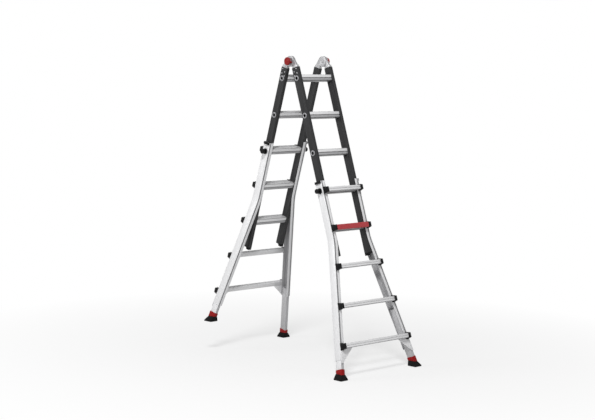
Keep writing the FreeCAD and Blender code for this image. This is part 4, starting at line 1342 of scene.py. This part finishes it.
@dataclass
class HingeKnobs(Assembly):
    """Scalloped round release knobs with their locking dowels.

    Attributes:
        face: Distance of the knobs' inner faces from the mid-plane, in millimetres.
        dowel_start: Distance of the dowels' tips from the mid-plane.
        lock_radius: Distance of the dowels from the hinge axis.
        dowel_half: Half a dowel's width.
        dowel_seat: How far a dowel reaches into the knob.
        dowel_edge: Radius of its eased edges.
        steps: Divisions round the knob.
        scallops: How many scallops run round its rim.
        scallop_depth: How deep they are.
        scallop_reach: Radius from which they begin.
        profile: Radius and height pairs of the knob.
    """

    face: float = 194.5
    dowel_start: float = 176.25
    lock_radius: float = 25.0
    dowel_half: float = 4.0
    dowel_seat: float = 3.0
    dowel_edge: float = 0.5
    steps: int = 120
    scallops: int = 12
    scallop_depth: float = 2.2
    scallop_reach: float = 20.0
    profile: tuple[tuple[float, float], ...] = (
        (0.0, 0.3), (22.0, 0.3), (26.5, 0.8), (28.6, 2.2), (29.4, 4.6), (29.4, 12.0), (28.4, 14.6),
        (26.2, 16.3), (23.8, 16.9), (21.6, 16.4), (20.2, 14.9), (18.0, 14.4), (12.0, 15.0), (6.0, 15.5),
        (0.0, 15.7))

    def build(self) -> None:
        """Make both knobs."""
        for side, hand in SIDES.items():
            name = "hinge_knob_" + side
            grip = lathe(name + "_grip", list(self.profile), self.steps, self.scallops, self.scallop_depth,
                         self.scallop_reach)
            place = self.frames["left"]
            turn = Matrix.Rotation(LADDERS["left"] * -place.lean, 4, "Y")
            outward = Matrix.Rotation(-hand * math.pi / 2, 4, "X")
            parts = [(grip, turn @ Matrix.Translation((0, hand * self.face * MM, 0)) @ outward)]
            for sign in (-1, 1):
                low, high = sorted((hand * self.dowel_start, hand * (self.face + self.dowel_seat)))
                spot = sign * self.lock_radius
                dowel = bar(name + "_dowel", Vector((spot - self.dowel_half, low, -self.dowel_half)),
                            Vector((spot + self.dowel_half, high, self.dowel_half)), self.dowel_edge)
                parts.append((dowel, turn))
            mesh = joined(name + "_release", parts)
            mesh.transform(Matrix.Translation(place.pivot))
            smooth_by_angle(mesh, BUTTON_DEGREES)
            piece = add_object(name + "_release", mesh)
            self.shop.dress(piece, name, "red_plastic", name)


@dataclass
class LockKnobs(Assembly):
    """Black pull knobs whose pins hold the telescopes.

    Attributes:
        tip: Distance of the pins' tips from the mid-plane, in millimetres.
        face: Distance of the grips' inner faces from the mid-plane.
        steps: Divisions round a knob.
        scallops: How many scallops run round its rim.
        scallop_depth: How deep they are.
        scallop_reach: Radius from which they begin.
    """

    tip: float = 187.0
    face: float = 216.5
    steps: int = 96
    scallops: int = 8
    scallop_depth: float = 1.9
    scallop_reach: float = 12.0

    def profile(self) -> list[tuple[float, float]]:
        """Radius and height pairs of the pin's rounded nose, its shaft and the dished grip, from the tip."""
        grip = self.face - self.tip
        return [(0.0, 0.0), (6.4, 0.0), (8.3, 1.0), (8.9, 2.8), (8.9, grip), (14.0, grip + 0.1),
                (16.2, grip + 0.6), (17.6, grip + 2.4), (18.0, grip + 5.0), (18.0, grip + 12.6),
                (17.0, grip + 15.4), (14.8, grip + 17.3), (12.2, grip + 17.9), (10.2, grip + 17.2),
                (8.6, grip + 16.2), (0.0, grip + 15.8)]

    def build(self) -> None:
        """Make all four knobs."""
        for ladder, place in self.frames.items():
            drop = SIZES.first_rung + SIZES.pitch * OUTER_FIRST_RUNG[ladder]
            for side, hand in SIDES.items():
                name = "%s_lock_knob_%s" % (ladder, side)
                mesh = lathe(name + "_pull", self.profile(), self.steps, self.scallops, self.scallop_depth,
                             self.scallop_reach)
                mesh.transform(Matrix.Rotation(-hand * math.pi / 2, 4, "X"))
                mesh.transform(Matrix.Translation(place.at(SIZES.offset, hand * self.tip, -drop)))
                smooth_by_angle(mesh, BUTTON_DEGREES)
                piece = add_object(name + "_pull", mesh)
                self.shop.dress(piece, name, "black_plastic", name)


ASSEMBLIES = (Sections, RungEnds, StileRivets, GussetRivets, HingeBeads, TreadCover, HingeKnobs, LockKnobs)


# ------------------------------------------------------------------ studio


@dataclass(frozen=True)
class Lamp:
    """A square soft lamp.

    Attributes:
        name: The lamp's name.
        place: Where it hangs, in metres.
        size: Its width in metres.
        power: Its power in watts.
    """

    name: str
    place: tuple[float, float, float]
    size: float
    power: float

    def hang(self, aim: tuple[float, float, float]) -> None:
        """Set the lamp up, facing a point in metres."""
        data = bpy.data.lights.new(self.name, "AREA")
        data.size = self.size
        data.energy = self.power
        item = bpy.data.objects.new(self.name, data)
        item.location = self.place
        item.rotation_euler = (Vector(aim) - Vector(self.place)).to_track_quat("-Z", "Y").to_euler()
        bpy.context.scene.collection.objects.link(item)


@dataclass
class Studio:
    """Floor, light and camera.

    Attributes:
        camera_place: Where the camera stands, in metres.
        camera_aim: The way it looks.
        camera_roll: Its roll in radians.
        camera_lens: Its focal length in millimetres.
        camera_sensor: Its sensor's width in millimetres.
        camera_reach: How far it sees, in metres.
        lamps: The lamps.
        lamp_aim: The point that they face, in metres.
        world_light: Strength of the surrounding light on the object.
        floor_reach: Half the floor's width in metres.
        floor_drop: How far the floor lies under the soles, in metres.
        floor_shade: How light the floor is.
        floor_fade: Distances from the middle over which it fades to plain white, in metres.
        floor_white: Share of plain white in its middle.
    """

    camera_place: tuple[float, float, float] = (8.159, -8.293, 2.322)
    camera_aim: tuple[float, float, float] = (-0.70458, 0.70187, -0.10462)
    camera_roll: float = -0.021
    camera_lens: float = 96.03
    camera_sensor: float = 36.0
    camera_reach: float = 100.0
    lamps: tuple[Lamp, ...] = (Lamp("key", (3.4, -5.0, 7.9), 1.8, 580.0),
                               Lamp("fill", (-3.4, -6.4, 4.0), 3.0, 105.0))
    lamp_aim: tuple[float, float, float] = (0.0, 0.0, 1.1)
    world_light: float = 0.22
    floor_reach: float = 40.0
    floor_drop: float = 0.0005
    floor_shade: float = 0.92
    floor_fade: tuple[float, float] = (0.6, 3.2)
    floor_white: float = 0.62

    def camera(self) -> None:
        """Set up the camera."""
        aim = Vector(self.camera_aim).normalized()
        right = aim.cross(Vector((0.0, 0.0, 1.0))).normalized()
        up = right.cross(aim)
        cosine, sine = math.cos(self.camera_roll), math.sin(self.camera_roll)
        across = right * cosine - up * sine
        above = right * sine + up * cosine
        turn = Matrix((across, above, -aim)).transposed().to_4x4()
        data = bpy.data.cameras.new("camera")
        data.lens = self.camera_lens
        data.sensor_width = self.camera_sensor
        data.clip_end = self.camera_reach
        item = bpy.data.objects.new("camera", data)
        item.matrix_world = Matrix.Translation(self.camera_place) @ turn
        bpy.context.scene.collection.objects.link(item)
        bpy.context.scene.camera = item

    @staticmethod
    def seen_white(tree: bpy.types.NodeTree, lit: bpy.types.Node, white: bpy.types.Node,
                   share: bpy.types.NodeSocket | None) -> bpy.types.Node:
        """Mix a lit shader with plain white for rays that show the background.

        Args:
            tree: The tree to add to.
            lit: The shader that lights and shadows use.
            white: The shader that the camera and gloss see.
            share: How much of the white to use, or None for all of it.

        Returns:
            The mixed shader.
        """
        path = tree.nodes.new("ShaderNodeLightPath")
        seen = path.outputs["Is Camera Ray"]
        for ray in ("Is Glossy Ray", "Is Transmission Ray"):
            seen = arithmetic(tree, "MAXIMUM", seen, path.outputs[ray])
        if share is not None:
            seen = arithmetic(tree, "MULTIPLY", seen, share)
        mix = tree.nodes.new("ShaderNodeMixShader")
        tree.links.new(seen, mix.inputs[0])
        tree.links.new(lit.outputs[0], mix.inputs[1])
        tree.links.new(white.outputs[0], mix.inputs[2])
        return mix

    def world(self) -> None:
        """A white surround that lights the object softly."""
        world = bpy.data.worlds.new("surround")
        world.use_nodes = True
        tree = world.node_tree
        tree.nodes.clear()
        lit, white = tree.nodes.new("ShaderNodeBackground"), tree.nodes.new("ShaderNodeBackground")
        for shader, strength in ((lit, self.world_light), (white, 1.0)):
            shader.inputs["Color"].default_value = (1.0, 1.0, 1.0, 1.0)
            shader.inputs["Strength"].default_value = strength
        mix = self.seen_white(tree, lit, white, None)
        out = tree.nodes.new("ShaderNodeOutputWorld")
        tree.links.new(mix.outputs[0], out.inputs["Surface"])
        bpy.context.scene.world = world

    def floor(self) -> None:
        """A plain pale floor that fades into the surround."""
        mesh = bpy.data.meshes.new("floor")
        corners = [(x * self.floor_reach, y * self.floor_reach, -self.floor_drop)
                   for x, y in ((-1, -1), (1, -1), (1, 1), (-1, 1))]
        mesh.from_pydata(corners, [], [(0, 1, 2, 3)])
        material = bpy.data.materials.new("floor")
        material.use_nodes = True
        tree = material.node_tree
        lit = tree.nodes["Principled BSDF"]
        lit.inputs["Base Color"].default_value = (self.floor_shade, self.floor_shade, self.floor_shade, 1.0)
        lit.inputs["Roughness"].default_value = 0.9
        lit.inputs["Specular IOR Level"].default_value = 0.1
        place = tree.nodes.new("ShaderNodeTexCoord")
        length = tree.nodes.new("ShaderNodeVectorMath")
        length.operation = "LENGTH"
        tree.links.new(place.outputs["Object"], length.inputs[0])
        fade = tree.nodes.new("ShaderNodeMapRange")
        fade.inputs["From Min"].default_value, fade.inputs["From Max"].default_value = self.floor_fade
        fade.inputs["To Min"].default_value = self.floor_white
        tree.links.new(length.outputs["Value"], fade.inputs["Value"])
        white = tree.nodes.new("ShaderNodeEmission")
        mix = self.seen_white(tree, lit, white, fade.outputs[0])
        tree.links.new(mix.outputs[0], tree.nodes["Material Output"].inputs["Surface"])
        piece = add_object("floor", mesh)
        piece.data.materials.append(material)

    def build(self) -> None:
        """Set up the whole studio."""
        self.camera()
        self.world()
        self.floor()
        for lamp in self.lamps:
            lamp.hang(self.lamp_aim)
        bpy.context.scene.view_settings.view_transform = "Standard"


def main() -> None:
    """Build the studio and dress the ladder."""
    Studio().build()
    frames = ladder_frames()
    shop = Paintshop({ladder: place.lean for ladder, place in frames.items()})
    for assembly in ASSEMBLIES:
        assembly(shop, frames).build()
    bpy.context.view_layer.update()


if __name__ == "__main__":
    main()
